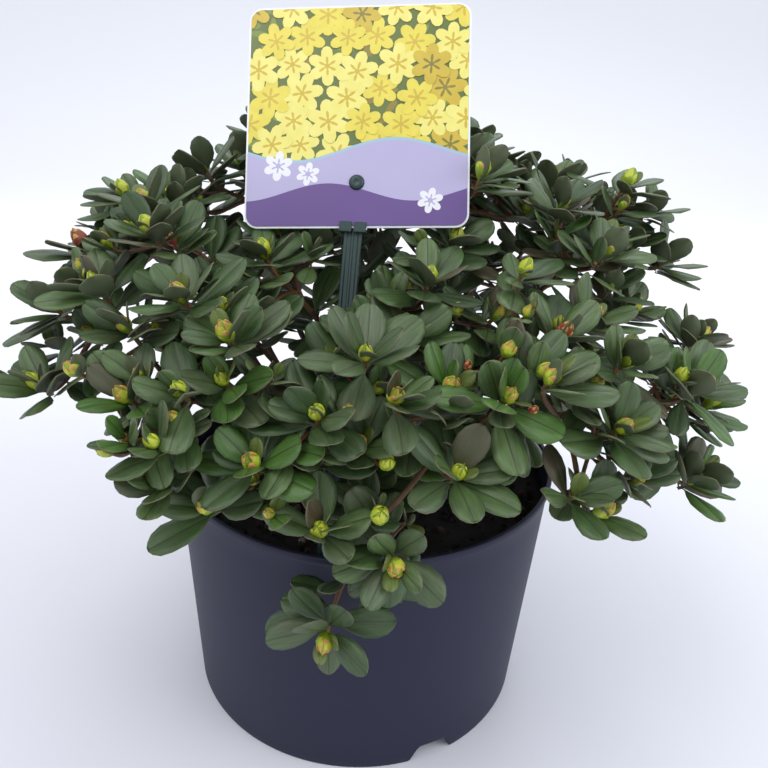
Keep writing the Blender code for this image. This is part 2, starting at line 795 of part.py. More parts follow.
def make_bough(mass, collection, mat, section):
    """The mass's bough: from 0.3 mm off the trunk, bowing out and up to the mass's stem."""
    z = mass["root_z"]
    bearing = mass["root_bearing"]
    top = SOIL_Z + TRUNK_HEIGHT
    if z > top:
        start = trunk_at(top) + polar(bearing, TRUNK_TOP_R * TOP_RING, 0)
        start.z = top + GAP
        way = Vector((0, 0, 1))
    else:
        way = polar(bearing, 1.0, BOUGH_RISE).normalized()
        start = trunk_at(z) + polar(bearing, trunk_radius(z) + GAP + BOUGH_R * BOUGH_SINK, 0)
        start.z = z
    end = mass["stem"] - mass["way"] * GAP
    straight = end - mass["way"] * STRAIGHT
    points = bow(start + way * STRAIGHT, way, straight, mass["way"], BOUGH_POINTS - 2)
    points = [start] + points + [end]
    taper = (BOUGH_TIP_R - BOUGH_R) / (BOUGH_POINTS - 1)
    radii = [BOUGH_R + taper * i for i in range(BOUGH_POINTS)]
    mesh = limb_mesh(mass["bough"], points, radii, section, collection)
    return add_object(mass["bough"], mesh, collection, mat)


def main():
    """Builds the shrub, its pot and its label."""
    for obj in list(bpy.data.objects):
        bpy.data.objects.remove(obj)
    scene = bpy.context.scene
    collection = bpy.data.collections.new(NAME)
    cutters = bpy.data.collections.new("cutters")
    scene.collection.children.link(collection)
    scene.collection.children.link(cutters)
    mats = {
        "pot": material("pot_plastic", (0.030, 0.033, 0.065), 0.5),
        "soil": material("potting_soil", (0.020, 0.013, 0.009), 0.95),
        "bark": material("bark", (0.120, 0.060, 0.035), 0.8),
        "leaf": material("foliage", (0.045, 0.075, 0.035), 0.5),
        "card": material("card_plastic", (0.80, 0.78, 0.45), 0.35),
        "stem": material("stem_plastic", (0.012, 0.035, 0.042), 0.4),
    }
    pot = make_pot(collection, mats["pot"], cutters)
    label = make_label(collection, mats, cutters)
    soil = make_soil(collection, mats["soil"], cutters, label)
    limb_section = guide("limb_section", BOUGH_SIDES, cutters)
    trunk_section = guide("trunk_section", TRUNK_SIDES, cutters)
    twig_section = guide("twig_section", TWIG_SIDES, cutters)
    crowd = Crowd()
    for obj in [pot, soil] + [bpy.data.objects[n] for n in LABEL_NODES]:
        crowd.add(*mesh_parts(grown(obj.data, LEAF_CLEAR)), obj.name)
    trunk = make_trunk(collection, mats["bark"], trunk_section)
    crowd.add(*mesh_parts(grown(trunk.data, LEAF_CLEAR)), "trunk")
    masses = mass_list()
    for mass in masses:
        bough = make_bough(mass, collection, mats["bark"], limb_section)
        crowd.add(*mesh_parts(grown(bough.data, LEAF_CLEAR)), mass["name"])
    grow(masses, crowd, collection, mats["leaf"], twig_section)


def guide(name, sides, cutters):
    """A limb's section: a ring of points kept as a guide."""
    return as_cutter(add_object(name, ring_of_points(sides), cutters))


def grown(mesh, by):
    """A copy of a mesh with its corners pushed out along their normals."""
    copy = mesh.copy()
    for v, n in zip(copy.vertices, mesh.vertex_normals):
        v.co += n.vector * by
    return copy


def grow(masses, crowd, collection, mat, section):
    """Grows every mass: first all the twigs, then the leaves, then one union a mass."""
    template, faces = leaf_template()
    pieces = {}
    shoots = {}
    for index, mass in enumerate(masses):
        rng = np.random.default_rng([SEED, index])
        pieces[index] = []
        shoots[index] = []
        for shoot in shoots_of(mass, rng):
            points, radii = shoot_points(shoot)
            if not shoots[index]:
                points.insert(1, points[0] + mass["way"] * STRAIGHT)
                radii.insert(1, radii[0])
            twig = limb_mesh("shoot", points, radii, section, collection)
            guard = mesh_parts(grown(twig, LEAF_CLEAR))
            if crowd.meets(*guard, mass["name"]):
                continue
            crowd.add(*guard, mass["name"])
            pieces[index].append(twig)
            shoots[index].append(shoot)
    for index, mass in enumerate(masses):
        pieces[index] += leaves_of(mass, index, shoots[index], masses, crowd, template, faces)
    for index, mass in enumerate(masses):
        fused(mass["name"], pieces[index], collection, mat)


if __name__ == "__main__":
    main()
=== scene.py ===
"""The potted dwarf rhododendron, dressed for its picture.

The shrub is grown again by the rule of its solids and carried on to real leaves, small
side shoots, scaled buds and bark. Metres, +Z up; the pot stands on the floor at Z 0.
"""
from math import cos, pi, radians, sin, tan

import bpy
import bmesh
import numpy as np
from mathutils import Euler, Matrix, Vector, noise
from mathutils.bvhtree import BVHTree


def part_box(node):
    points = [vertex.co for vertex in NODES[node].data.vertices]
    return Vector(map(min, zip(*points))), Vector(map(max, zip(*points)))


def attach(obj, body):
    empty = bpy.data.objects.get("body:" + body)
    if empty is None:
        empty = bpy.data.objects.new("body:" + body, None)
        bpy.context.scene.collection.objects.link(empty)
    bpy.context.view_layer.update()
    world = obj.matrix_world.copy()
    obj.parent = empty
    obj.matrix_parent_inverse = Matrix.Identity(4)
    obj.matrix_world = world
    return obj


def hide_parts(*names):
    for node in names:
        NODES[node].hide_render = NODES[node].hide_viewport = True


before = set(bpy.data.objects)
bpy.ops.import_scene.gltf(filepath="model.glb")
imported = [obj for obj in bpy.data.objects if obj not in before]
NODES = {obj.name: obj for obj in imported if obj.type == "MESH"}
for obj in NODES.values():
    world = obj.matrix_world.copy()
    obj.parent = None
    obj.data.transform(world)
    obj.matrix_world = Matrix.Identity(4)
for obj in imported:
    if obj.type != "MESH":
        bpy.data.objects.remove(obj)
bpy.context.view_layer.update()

# Sizes shared with the solids
SEED = 27
GAP = 0.0003
POT_HEIGHT = 0.130
POT_RIM_R = 0.095
POT_FOOT_R = 0.088
POT_WALL = 0.0013
POT_LIP = 0.0010
POT_LIP_HEIGHT = 0.004
POT_FLOOR_Z = 0.0105
POT_HUB_R = 0.020
NOTCHES = 3
NOTCH_WIDTH = 0.024
NOTCH_TOP = 0.60
NOTCH_HEIGHT = 0.0095
NOTCH_TURN = radians(-63.6)
DRAINS = 6
DRAIN_R = 0.0045
DRAIN_RING_R = 0.068
SOIL_Z = 0.116
SOIL_CROWN = 0.0015
LABEL_AT = (-0.0103, 0.0100, 0.2928)
LABEL_TURN = tuple(radians(a) for a in (-28.0, -4.3, -5.0))
CARD_WIDTH = 0.100
CARD_HEIGHT = 0.101
CARD_CORNER_R = 0.006
CARD_THICK = 0.0008
CARD_CLEAR = 0.002
PIN_AT = (0.0004, -0.0302)
PIN_HEAD_R = 0.0035
PIN_HEAD_RISE = 0.0016
STEM_LEAN = radians(3.66)
STEM_WIDTH = 0.0080
STEM_THICK = 0.0020
STEM_TOP = 0.010
STEM_FOOT_Z = 0.108
CLIP_WIDTH = 0.0120
CLIP_SPLIT = 0.0010
CLIP_RISE = 0.0040
CLIP_THICK = 0.0010
CLIP_DROP = 0.0006
TRUNK_FOOT_R = 0.0088
TRUNK_R = 0.0062
TRUNK_TOP_R = 0.0052
TRUNK_HEIGHT = 0.026
TRUNK_LEAN = (0.0015, 0.0010)
FLARE_SHARE = 0.35
BOUGH_R = 0.0019
BOUGH_TIP_R = 0.0013
BOUGH_RISE = 0.25
BOUGH_SINK = 0.25
TOP_RING = 0.62
STRAIGHT = 0.002
BOW_PULL = 0.35
# The rings of masses: where each one's last bud stands, by its bearing from +X in
# degrees, its reach from the axis and its height. Turn is where its side shoots start.
RINGS = {
    "low": dict(
        root_z=(0.1215, 0.1265), heart_z=0.150, turn=pi / 4,
        bearing=(-14, -46, -74, -110, -135, -162, 161, 125, 91, 57, 22),
        reach=(0.160, 0.138, 0.122, 0.120, 0.130, 0.142, 0.142, 0.134, 0.132, 0.138, 0.140),
        height=(0.184, 0.200, 0.188, 0.186, 0.200, 0.218, 0.232, 0.202, 0.196, 0.202, 0.248)),
    "mid": dict(
        root_z=(0.1365, 0.1365), heart_z=0.150, turn=0.0,
        bearing=(-91, -44, 2, 47, 92, 137, -178, -137),
        reach=(0.092, 0.104, 0.110, 0.106, 0.098, 0.100, 0.104, 0.102),
        height=(0.222, 0.226, 0.244, 0.262, 0.262, 0.262, 0.254, 0.234)),
    "top": dict(
        root_z=(0.1430, 0.1430), heart_z=0.165, turn=pi / 4,
        bearing=(-62, 28, 118, 208),
        reach=(0.050, 0.052, 0.050, 0.054),
        height=(0.238, 0.276, 0.268, 0.240)),
}
# One mass hangs over the rim at the front: each shoot's bearing, reach and height
HANGING = dict(
    root_bearing=-90, bearing=-88, stem_reach=0.086, stem_height=0.152, root_z=0.1310, lift=0.2,
    buds=((-84, 0.124, 0.150), (-96, 0.121, 0.110)))
STEM_IN = 0.038
CENTRE_IN = 0.010
FORK_FIRST = 0.0045
FORK_STEP = 0.0024
SHOOTS = 4
SHOOT_OUT = 0.032
SHOOT_BACK = 0.007
FACING_Z = 0.165
FACING_OUT = 0.58
FACING_UP = 0.60
SET_OFF = 0.6
TURN_SPREAD = 0.35
OUT_SPREAD = (0.92, 1.12)
BACK_SPREAD = 0.004
SHOOT_R = 0.0010
STEM_R = 0.0012
BUD_R = 0.0021
BUD_LENGTH = 0.0075
BUD_SEAT = 0.45
OVERHANG = 0.012
# Corners closer than this are one
DOUBLED = 0.000005


def polar(bearing, reach, height):
    """A point from its bearing in degrees, its reach from the axis and its height."""
    turn = radians(bearing)
    return Vector((reach * cos(turn), reach * sin(turn), height))


def across(way):
    """Two unit directions square to a way, the first of them level."""
    way = way.normalized()
    level = Vector((0, 0, 1)).cross(way)
    if level.length < 0.05:
        level = Vector((1, 0, 0))
    level.normalize()
    return level, way.cross(level)


def bow(start, start_way, end, end_way, count):
    """Points of a smooth bow that leaves start along one way and comes to end along another."""
    span = (end - start).length
    a = start + start_way.normalized() * span * BOW_PULL
    b = end - end_way.normalized() * span * BOW_PULL
    out = []
    for i in range(count):
        t = i / (count - 1)
        s = 1 - t
        out.append(start * s**3 + a * 3 * s * s * t + b * 3 * s * t * t + end * t**3)
    return out


def mass_list():
    """Every mass by the solids' own rule: its names, end bud, stem, centre and root."""
    bearing = HANGING["bearing"]
    stem = polar(bearing, HANGING["stem_reach"], HANGING["stem_height"])
    way = polar(bearing, 1.0, BOUGH_RISE).normalized()
    buds = [polar(*bud) for bud in HANGING["buds"]]
    masses = [dict(
        name="foliage_hanging", bough="bough_hanging", bud=buds[0],
        root_bearing=HANGING["root_bearing"], way=way, turn=None, stem=stem,
        centre=(buds[0] + buds[1]) / 2, root_z=HANGING["root_z"])]
    for ring, r in RINGS.items():
        for i, spot in enumerate(zip(r["bearing"], r["reach"], r["height"])):
            bud = polar(*spot)
            way = (bud - Vector((0, 0, r["heart_z"]))).normalized()
            masses.append(dict(
                name=f"foliage_{ring}_{i + 1:02d}", bough=f"bough_{ring}_{i + 1:02d}",
                root_bearing=spot[0], bud=bud, way=way, turn=r["turn"],
                stem=bud - way * STEM_IN,
                centre=bud - way * CENTRE_IN, root_z=r["root_z"][i % 2]))
    return masses


def shoots_of(mass, rng):
    """The mass's main shoots by the solids' rule: (start, its way, bud, the whorl's facing)."""
    level, rise = across(mass["way"])
    hanging = mass["turn"] is None
    if hanging:
        buds = [polar(*spot) for spot in HANGING["buds"]]
    else:
        buds = [mass["bud"]]
        for i in range(SHOOTS):
            turn = mass["turn"] + 2 * pi * i / SHOOTS + rng.uniform(-TURN_SPREAD, TURN_SPREAD)
            out_r = SHOOT_OUT * rng.uniform(*OUT_SPREAD)
            back = SHOOT_BACK + rng.uniform(-BACK_SPREAD, BACK_SPREAD)
            sideways = level * cos(turn) + rise * sin(turn)
            buds.append(mass["bud"] + sideways * out_r - mass["way"] * back)
    out = []
    for i, bud in enumerate(buds):
        start = mass["stem"] + mass["way"] * (FORK_FIRST + FORK_STEP * (i - 1) if i else 0.0)
        outward = (bud - Vector((0, 0, FACING_Z))).normalized()
        facing = (outward * FACING_OUT + Vector((0, 0, FACING_UP))).normalized()
        if hanging:
            facing = (outward + Vector((0, 0, HANGING["lift"]))).normalized()
        start_way = (bud - start).normalized() * SET_OFF + mass["way"] * (1 - SET_OFF if i else 1)
        out.append((start, start_way, bud, facing))
    return out


def label_matrix():
    """The label's place: its card faces the front, leaning back."""
    return Matrix.Translation(LABEL_AT) @ Euler(LABEL_TURN, "XYZ").to_matrix().to_4x4()


def trunk_at(z):
    """The trunk's centre at a height above the soil."""
    share = (z - SOIL_Z) / TRUNK_HEIGHT
    return Vector((TRUNK_LEAN[0] * share, TRUNK_LEAN[1] * share, z))


def trunk_radius(z):
    """The trunk's radius at a height: a root flare at the soil, then a slow taper."""
    share = (z - SOIL_Z) / TRUNK_HEIGHT
    flare = (TRUNK_FOOT_R - TRUNK_R) * max(0.0, 1 - share / FLARE_SHARE) ** 2
    return TRUNK_R + (TRUNK_TOP_R - TRUNK_R) * share + flare


class Pile:
    """A joined mesh in the making: corners, faces of three or four corners, slots and UVs."""

    def __init__(self):
        self.verts, self.faces, self.slots, self.smooth, self.uvs = [], [], [], [], []
        self.count = 0

    def add(self, verts, faces, slots, smooth=True, uvs=None):
        """Takes in corners (n, 3) and faces (m, 4), a triangle's fourth corner being -1."""
        verts = np.asarray(verts, dtype=float).reshape(-1, 3)
        faces = np.asarray(faces, dtype=int).reshape(-1, 4)
        self.verts.append(verts)
        self.faces.append(np.where(faces < 0, -1, faces + self.count))
        self.slots.append(np.broadcast_to(np.asarray(slots, dtype=int), len(faces)))
        self.smooth.append(np.broadcast_to(np.asarray(smooth, dtype=bool), len(faces)))
        self.uvs.append(np.zeros((len(verts), 2)) if uvs is None else np.asarray(uvs, dtype=float))
        self.count += len(verts)

    def build(self, name, mats):
        """Writes the mesh and its object."""
        verts = np.concatenate(self.verts)
        faces = np.concatenate(self.faces)
        kept = faces >= 0
        corners = faces[kept]
        sizes = kept.sum(axis=1)
        starts = np.concatenate(([0], np.cumsum(sizes)[:-1]))
        mesh = bpy.data.meshes.new(name)
        mesh.vertices.add(len(verts))
        mesh.vertices.foreach_set("co", verts.ravel())
        mesh.loops.add(len(corners))
        mesh.loops.foreach_set("vertex_index", corners)
        mesh.polygons.add(len(faces))
        mesh.polygons.foreach_set("loop_start", starts)
        mesh.polygons.foreach_set("material_index", np.concatenate(self.slots))
        mesh.update(calc_edges=True)
        mesh.polygons.foreach_set("use_smooth", np.concatenate(self.smooth))
        layer = mesh.uv_layers.new(name="UVMap")
        layer.data.foreach_set("uv", np.concatenate(self.uvs)[corners].ravel())
        for mat in mats:
            mesh.materials.append(mat)
        mesh.validate()
        obj = bpy.data.objects.new(name, mesh)
        bpy.context.scene.collection.objects.link(obj)
        return obj


def grid_faces(rows, columns, round_columns=False):
    """Faces of a grid of rows by columns of corners, closed round its columns or not."""
    i, j = np.meshgrid(np.arange(rows - 1), np.arange(columns - (0 if round_columns else 1)),
                       indexing="ij")
    k = (j + 1) % columns
    return np.stack([i * columns + j, i * columns + k, (i + 1) * columns + k,
                     (i + 1) * columns + j], axis=-1).reshape(-1, 4)


def capped_faces(rows, columns):
    """Faces of a closed tube: its grid, and a fan at each end round one of its last two corners."""
    j = np.arange(columns)
    k = (j + 1) % columns
    none = np.full(columns, -1)
    base = (rows - 1) * columns
    middle = np.full(columns, rows * columns)
    return np.concatenate([grid_faces(rows, columns, True),
                           np.stack([k, j, middle, none], axis=-1),
                           np.stack([base + j, base + k, middle + 1, none], axis=-1)])


def bark_waves(turn, run, ridges, phase):
    """Bark relief as a sum of sines: long ridges that wander round the limb, and fine bumps."""
    return (0.55 * np.sin(ridges * turn + 1.7 * np.sin(run * 0.31 + phase))
            + 0.30 * np.sin((ridges + 3) * turn - run * 0.83 + phase * 2)
            + 0.35 * np.sin(run * 1.9 + 2 * turn + phase))


def limb(pile, points, radii, sides, slot, relief=0.0, ridges=0, phase=0.0):
    """A round limb with closed ends: rings square to the path, each corner moved out by bark
    relief, which is worked out from its bearing and the millimetres run along the path."""
    path = np.array([tuple(p) for p in points], dtype=float)
    radii = np.asarray(radii, dtype=float)
    ways = np.gradient(path, axis=0)
    ways /= np.linalg.norm(ways, axis=1)[:, None]
    side = np.cross(ways[0], (0.0, 0.0, 1.0))
    if np.linalg.norm(side) < 0.05:
        side = np.array((1.0, 0.0, 0.0))
    rings = []
    turn = 2 * pi * np.arange(sides) / sides
    length = 0.0
    for i, (at, way) in enumerate(zip(path, ways)):
        side = side - way * side.dot(way)
        side /= np.linalg.norm(side)
        other = np.cross(way, side)
        if i:
            length += np.linalg.norm(at - path[i - 1])
        r = np.full(sides, radii[i])
        if relief:
            r = r + relief * bark_waves(turn, length * 1000, ridges, phase)
        rings.append(at + np.outer(np.cos(turn) * r, side) + np.outer(np.sin(turn) * r, other))
    verts = np.concatenate(rings + [path[:1], path[-1:]])
    pile.add(verts, capped_faces(len(path), sides), slot)


def mend(mesh, thin=0.0):
    """Merges a mesh's doubled corners, drops faces thinner than thin, turns the rest outwards."""
    bm = bmesh.new()
    bm.from_mesh(mesh)
    bmesh.ops.remove_doubles(bm, verts=bm.verts, dist=DOUBLED)
    if thin:
        bmesh.ops.dissolve_degenerate(bm, edges=bm.edges, dist=thin)
    bmesh.ops.recalc_face_normals(bm, faces=bm.faces)
    bm.to_mesh(mesh)
    bm.free()


# A leaf: its blade, its petiole as shares of its length and half-width, the powers of its
# outline, its rib, and how its blade folds, curls, waves, arches, twists and bends
LEAF_LENGTH = 0.0272
LEAF_RATIO = 0.52
LEAF_THICK = 0.00035
LEAF_CLEAR = 0.00025
PETIOLE = 0.13
PETIOLE_HALF = 0.085
TIP_HALF = 0.13
FOOT_POWER = 0.75
TIP_POWER = 0.52
RIB_HALF = 0.045
RIB_DEPTH = 0.00022
FOLD = (0.06, 0.36)
CURL = (0.22, 0.46)
WAVE = (0.0, 0.07)
WAVES = 11
ARCH = (0.03, 0.19)
TWIST = 0.16
BEND = 0.035
ROUND = 6.28
# Lift, turn aside and share of the length that a leaf tries in turn until it has room
TRIES = ((0.0, 0.0, 1.0), (0.22, 0.25, 1.0), (-0.22, -0.25, 1.0), (0.45, 0.5, 0.95),
         (0.1, -0.55, 0.9), (0.6, 0.0, 0.8), (-0.3, 0.4, 0.8), (0.8, 0.3, 0.7))
GUARD_FROM = 0.30
# How many leaves stand round a shoot, along it and along a bough
MAIN_LEAVES = 8
SIDE_LEAVES = 6
INNER_LEAVES = 3
SIDE_INNER_LEAVES = 2
LOWER_LEAVES = 4
SIDE_LOWER_LEAVES = 2
BOUGH_LEAVES = 12
BOUGH_LEAVES_FROM = 0.28
BOUGH_ROUNDS = 2
# A whorl: its turn from leaf to leaf, the rise of its first and last leaf, their spread,
# and how far leaves turn up to the light
GOLDEN = radians(137.5)
TURN_JITTER = 0.22
RISE_FIRST = radians(2)
RISE_LAST = radians(54)
RISE_POWER = 1.3
RISE_JITTER = 0.14
SIZE_JITTER = (0.88, 1.1)
RATIO_JITTER = (0.9, 1.12)
YOUNG_RISE = (56, 74)
YOUNG_SIZE = (0.34, 0.52)
LIGHT = Vector((0, 0, 1))
LIGHT_LIFT = 0.20
LIGHT_TURN = 0.55
# Old leaves lower down: their rise in degrees, their share of the length and their ratio
LOWER_RISE = (12, 40)
LOWER_SIZE = (0.74, 1.0)
LOWER_RATIO = (0.9, 1.1)
LOWER_DOWN = -0.45
# Side shoots, and the ones that droop over the pot's left side
SIDE_SHOOTS = 2
SIDE_LENGTH = (0.013, 0.021)
SIDE_BUDS = 0.62
SIDE_SCALE = 0.86
DROOP_BEARINGS = (-150, -120)
DROOP_SHOOTS = 3
DROOP_LENGTH = (0.020, 0.030)
DROOP_REACH = 0.034
DROOP_LEFT = -0.112
DROOP_SLANT = (-0.806, 0.0, -0.591)
DROOP_LIMIT = -0.0312
# How far leaves reach past their mass's solid, and under or over its bud between bearings
REACH_OVER = 0.003
LEFT_REACH = -0.157
UNDER_REACH = 0.058
UNDER_SIDES = ((-118, -60, 0.080), (-60, -20, 0.033), (-180, -150, 0.036), (150, 180, 0.045))
OVER_SIDES = ((150, 175, 0.025), (-180, -170, 0.021), (-170, -150, 0.026), (10, 25, 0.024))
BOUGH_ROOM = 0.016
# What stays in view: a stretch of the label's stem, and of the pot's rim between bearings
STEM_SHOWN = 0.030
RIM_VIEWS = ((-119, -98), (-77, -60))
RIM_VIEW_SLOPE = 0.75
RIM_SHOWN = 0.008
# Shares of whorls in fresh green, high and low down, and of bronze leaves; then the slots
FRESH_SHARE = 0.05
FRESH_LOW = 0.45
FRESH_BELOW = 0.19
TONE_KEPT = 0.75
BRONZE_SHARE = 0.07
GREENS = 6
SLOT_RIB, SLOT_UNDER, SLOT_EDGE, SLOT_YOUNG, SLOT_BRONZE = range(GREENS, GREENS + 5)

# A leaf's corners: how far along it, how far across its half-width, and its layer
ROWS = np.array((0.0, 0.12, 0.20, 0.35, 0.54, 0.73, 0.88, 0.965, 1.0))
TOP_COLUMNS = np.array((-1.0, -0.62, -0.20, -RIB_HALF, RIB_HALF, 0.20, 0.62, 1.0))
UNDER_COLUMNS = np.array((-1.0, 0.0, 1.0))


def leaf_template():
    """Corners (along, across, layer), faces and face kinds of one closed leaf."""
    n = len(ROWS)
    top, under = len(TOP_COLUMNS), len(UNDER_COLUMNS)
    along = np.concatenate([np.repeat(ROWS, top), np.repeat(ROWS, under)])
    across_it = np.concatenate([np.tile(TOP_COLUMNS, n), np.tile(UNDER_COLUMNS, n)])
    layer = np.concatenate([np.zeros(n * top), np.ones(n * under)])
    base = n * top
    faces = [grid_faces(n, top)[:, ::-1]]
    kinds = [np.tile([0, 0, 0, 1, 0, 0, 0], n - 1)]
    faces.append(grid_faces(n, under) + base)
    kinds.append(np.full(2 * (n - 1), 2))
    i = np.arange(n - 1)
    for edge_top, edge_under, flip in ((0, 0, 1), (top - 1, under - 1, -1)):
        above, below = i * top + edge_top, base + i * under + edge_under
        rim = np.stack([above, above + top, below + under, below], axis=-1)
        faces.append(rim[:, ::-flip])
        kinds.append(np.full(n - 1, 3))
    for row, flip in ((0, 1), (n - 1, -1)):
        t, u = row * top, base + row * under
        cap = [(t, u, u + 1)] + [(t + k, u + 1, t + k + 1) for k in range(top - 1)]
        cap = np.array(cap + [(t + top - 1, u + 1, u + 2)])[:, ::flip]
        cap = np.column_stack([cap, np.full(len(cap), -1)])
        faces.append(cap)
        kinds.append(np.full(len(cap), 3))
    return along, across_it, layer, np.concatenate(faces), np.concatenate(kinds)


def outline(along):
    """A leaf's half-width at a share of its length, 1 at its widest.

    A thin petiole, then a blade that is wedge-shaped at the foot, widest past the middle and
    rounded at the tip: a power of the way from the foot times a power of the way to the tip.
    """
    b = np.clip((along - PETIOLE) / (1 - PETIOLE), 0, 1)
    widest = FOOT_POWER / (FOOT_POWER + TIP_POWER)
    blade = (b / widest)**FOOT_POWER * ((1 - b) / (1 - widest))**TIP_POWER
    ends = np.where(along < 0.5, PETIOLE_HALF, TIP_HALF)
    return np.maximum(blade, ends)


def leaf_points(leaf, along, side_share, drop):
    """Corners of leaves: one row of corners for each leaf in the arrays of the dict.

    Across, the halves rise from the rib and curl back at the margin; along, the blade
    arches down, twists and bends aside with the square of the distance.
    """
    col = {k: np.asarray(v)[:, None] for k, v in leaf.items() if np.ndim(v) == 1}
    half = outline(along)[None] * col["width"] / 2
    s = side_share[None]
    y = s * half
    z = half * (col["fold"] * np.abs(s) - col["curl"] * s * s)
    z = z + half * col["wave"] * np.sin(along[None] * WAVES + col["phase"] + s) * s * s
    z = z - RIB_DEPTH * (np.abs(s) <= RIB_HALF) * (along[None] > PETIOLE) * (drop[None] == 0)
    z = z - drop[None]
    turn = col["twist"] * along[None]
    y, z = y * np.cos(turn) - z * np.sin(turn), y * np.sin(turn) + z * np.cos(turn)
    a = along[None]
    z = z - col["arch"] * col["length"] * a * a
    y = y + col["bend"] * col["length"] * a * a
    x = a * col["length"]
    return (leaf["root"][:, None] + x[..., None] * leaf["way"][:, None]
            + y[..., None] * leaf["side"][:, None] + z[..., None] * leaf["up"][:, None])


GUARD_ROWS = np.array((0.0, 0.25, 0.5, 0.75, 0.93, 1.0))
GUARD_ALONG = np.tile(np.repeat(GUARD_ROWS, 3), 2)
GUARD_ACROSS = np.tile(np.array((-1.0, 0.0, 1.0)), 12)
GUARD_DROP = np.repeat(np.array((-LEAF_CLEAR, LEAF_THICK + LEAF_CLEAR)), 18)


def guard_faces():
    """Faces of the plain closed shell that stands in for a leaf when room is tested."""
    top = grid_faces(6, 3)[:, ::-1]
    under = grid_faces(6, 3) + 18
    rim = []
    for edge in (0, 2):
        i = np.arange(5) * 3 + edge
        rim.append(np.stack([i, i + 3, i + 21, i + 18], axis=-1))
    return [tuple(int(c) for c in f) for f in np.concatenate([top, under] + rim)]


GUARD_FACES = guard_faces()


class Crowd:
    """What already stands in the crown, to keep new leaves and twigs off it."""

    def __init__(self, room=12000):
        self.centres = np.zeros((room, 3))
        self.radii = np.zeros(room)
        self.trees = []
        self.owners = []

    def add(self, verts, faces, owner):
        """Takes in one solid, under its owner's name."""
        i = len(self.trees)
        low, high = verts.min(axis=0), verts.max(axis=0)
        self.centres[i] = (low + high) / 2
        self.radii[i] = np.linalg.norm(verts - self.centres[i], axis=1).max()
        self.trees.append(BVHTree.FromPolygons(verts.tolist(), faces))
        self.owners.append(owner)

    def meets(self, verts, faces, owner=None):
        """Whether a solid touches anything, its owner's own pieces left aside."""
        centre = (verts.min(axis=0) + verts.max(axis=0)) / 2
        radius = np.linalg.norm(verts - centre, axis=1).max()
        n = len(self.trees)
        apart = np.linalg.norm(self.centres[:n] - centre, axis=1)
        tree = None
        for i in np.nonzero(apart < self.radii[:n] + radius)[0]:
            if owner is not None and self.owners[i] == owner:
                continue
            tree = tree or BVHTree.FromPolygons(verts.tolist(), faces)
            if tree.overlap(self.trees[i]):
                return True
        return False


LABEL_INVERSE = np.array(label_matrix().inverted())


def in_view(verts):
    """Whether a leaf would hide what the plant leaves in view: the card's face, the upper
    stretch of its stem, and two stretches of the pot's rim."""
    at = verts @ LABEL_INVERSE[:3, :3].T + LABEL_INVERSE[:3, 3]
    before = (at[:, 1] > -CARD_WIDTH) & (at[:, 1] < 0)
    beside = np.maximum(np.abs(at[:, 0]) - CARD_WIDTH / 2, np.abs(at[:, 2]) - CARD_HEIGHT / 2)
    if (before & (beside < CARD_CLEAR)).any():
        return True
    below = -CARD_HEIGHT / 2 - at[:, 2]
    aside = np.abs(at[:, 0] - PIN_AT[0] - (at[:, 2] - PIN_AT[1]) * tan(STEM_LEAN))
    if (before & (below > 0) & (below < STEM_SHOWN) & (aside < STEM_WIDTH / 2 + CARD_CLEAR)).any():
        return True
    reach = np.hypot(verts[:, 0], verts[:, 1])
    bearing = np.degrees(np.arctan2(verts[:, 1], verts[:, 0]))
    above = verts[:, 2] - POT_HEIGHT - RIM_VIEW_SLOPE * (reach - POT_RIM_R)
    level = (reach > POT_RIM_R * 0.8) & (np.abs(above) < RIM_SHOWN)
    return any((level & (bearing > a) & (bearing < b)).any() for a, b in RIM_VIEWS)


def cell_walls(mass, masses):
    """The walls between a mass's space and its neighbours': unit ways and distances.

    Where the shoots droop, one more wall slants in towards the pot.
    """
    ways, limits = [], []
    for other in masses:
        if other is not mass:
            wall = other["centre"] - mass["centre"]
            ways.append(tuple(wall.normalized()))
            limits.append(wall.length / 2 + OVERHANG)
    if droops(mass):
        ways.append(DROOP_SLANT)
        limits.append(DROOP_LIMIT - mass["centre"].dot(Vector(DROOP_SLANT)))
    return np.array(ways), np.array(limits), np.array(tuple(mass["centre"]))


def mass_box(mass):
    """The box of a mass's solid, a little grown, cut under and over its bud by its bearing, and
    lower where its shoots droop."""
    low, high = np.array(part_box(mass["name"]))
    low, high = low - REACH_OVER, high + REACH_OVER
    low[0] = max(low[0], LEFT_REACH)
    if droops(mass):
        low[2] -= DROOP_REACH
        low[0] = DROOP_LEFT
    elif mass["turn"] is not None:
        under = UNDER_REACH
        for start, end, reach in UNDER_SIDES:
            if start < mass["root_bearing"] < end:
                under = reach
        low[2] = max(low[2], mass["bud"].z - under)
    for start, end, reach in OVER_SIDES:
        if start < mass["root_bearing"] < end:
            high[2] = min(high[2], mass["bud"].z + reach)
    return low, high


def bough_box(mass, path):
    """A mass's box grown to take in the outer stretch of its bough, clear of the soil."""
    low, high = mass["box"]
    points = np.array([tuple(p) for p in path])
    low = np.minimum(low, points.min(axis=0) - BOUGH_ROOM)
    high = np.maximum(high, points.max(axis=0) + BOUGH_ROOM)
    low[2] = max(low[2], SOIL_Z + BOUGH_ROOM)
    return low, high


def droops(mass):
    """Whether a mass is one of those that hang over the pot's left side."""
    low, high = DROOP_BEARINGS
    return "_low_" in mass["name"] and low < mass["root_bearing"] < high


def beyond(verts, box):
    """Whether corners reach out of a box."""
    return bool((verts.min(axis=0) < box[0]).any() or (verts.max(axis=0) > box[1]).any())


def inside(verts, walls):
    """Whether corners lie in a mass's space, or lean past its edge by little."""
    ways, limits, centre = walls
    return bool(((verts - centre) @ ways.T <= limits).all())


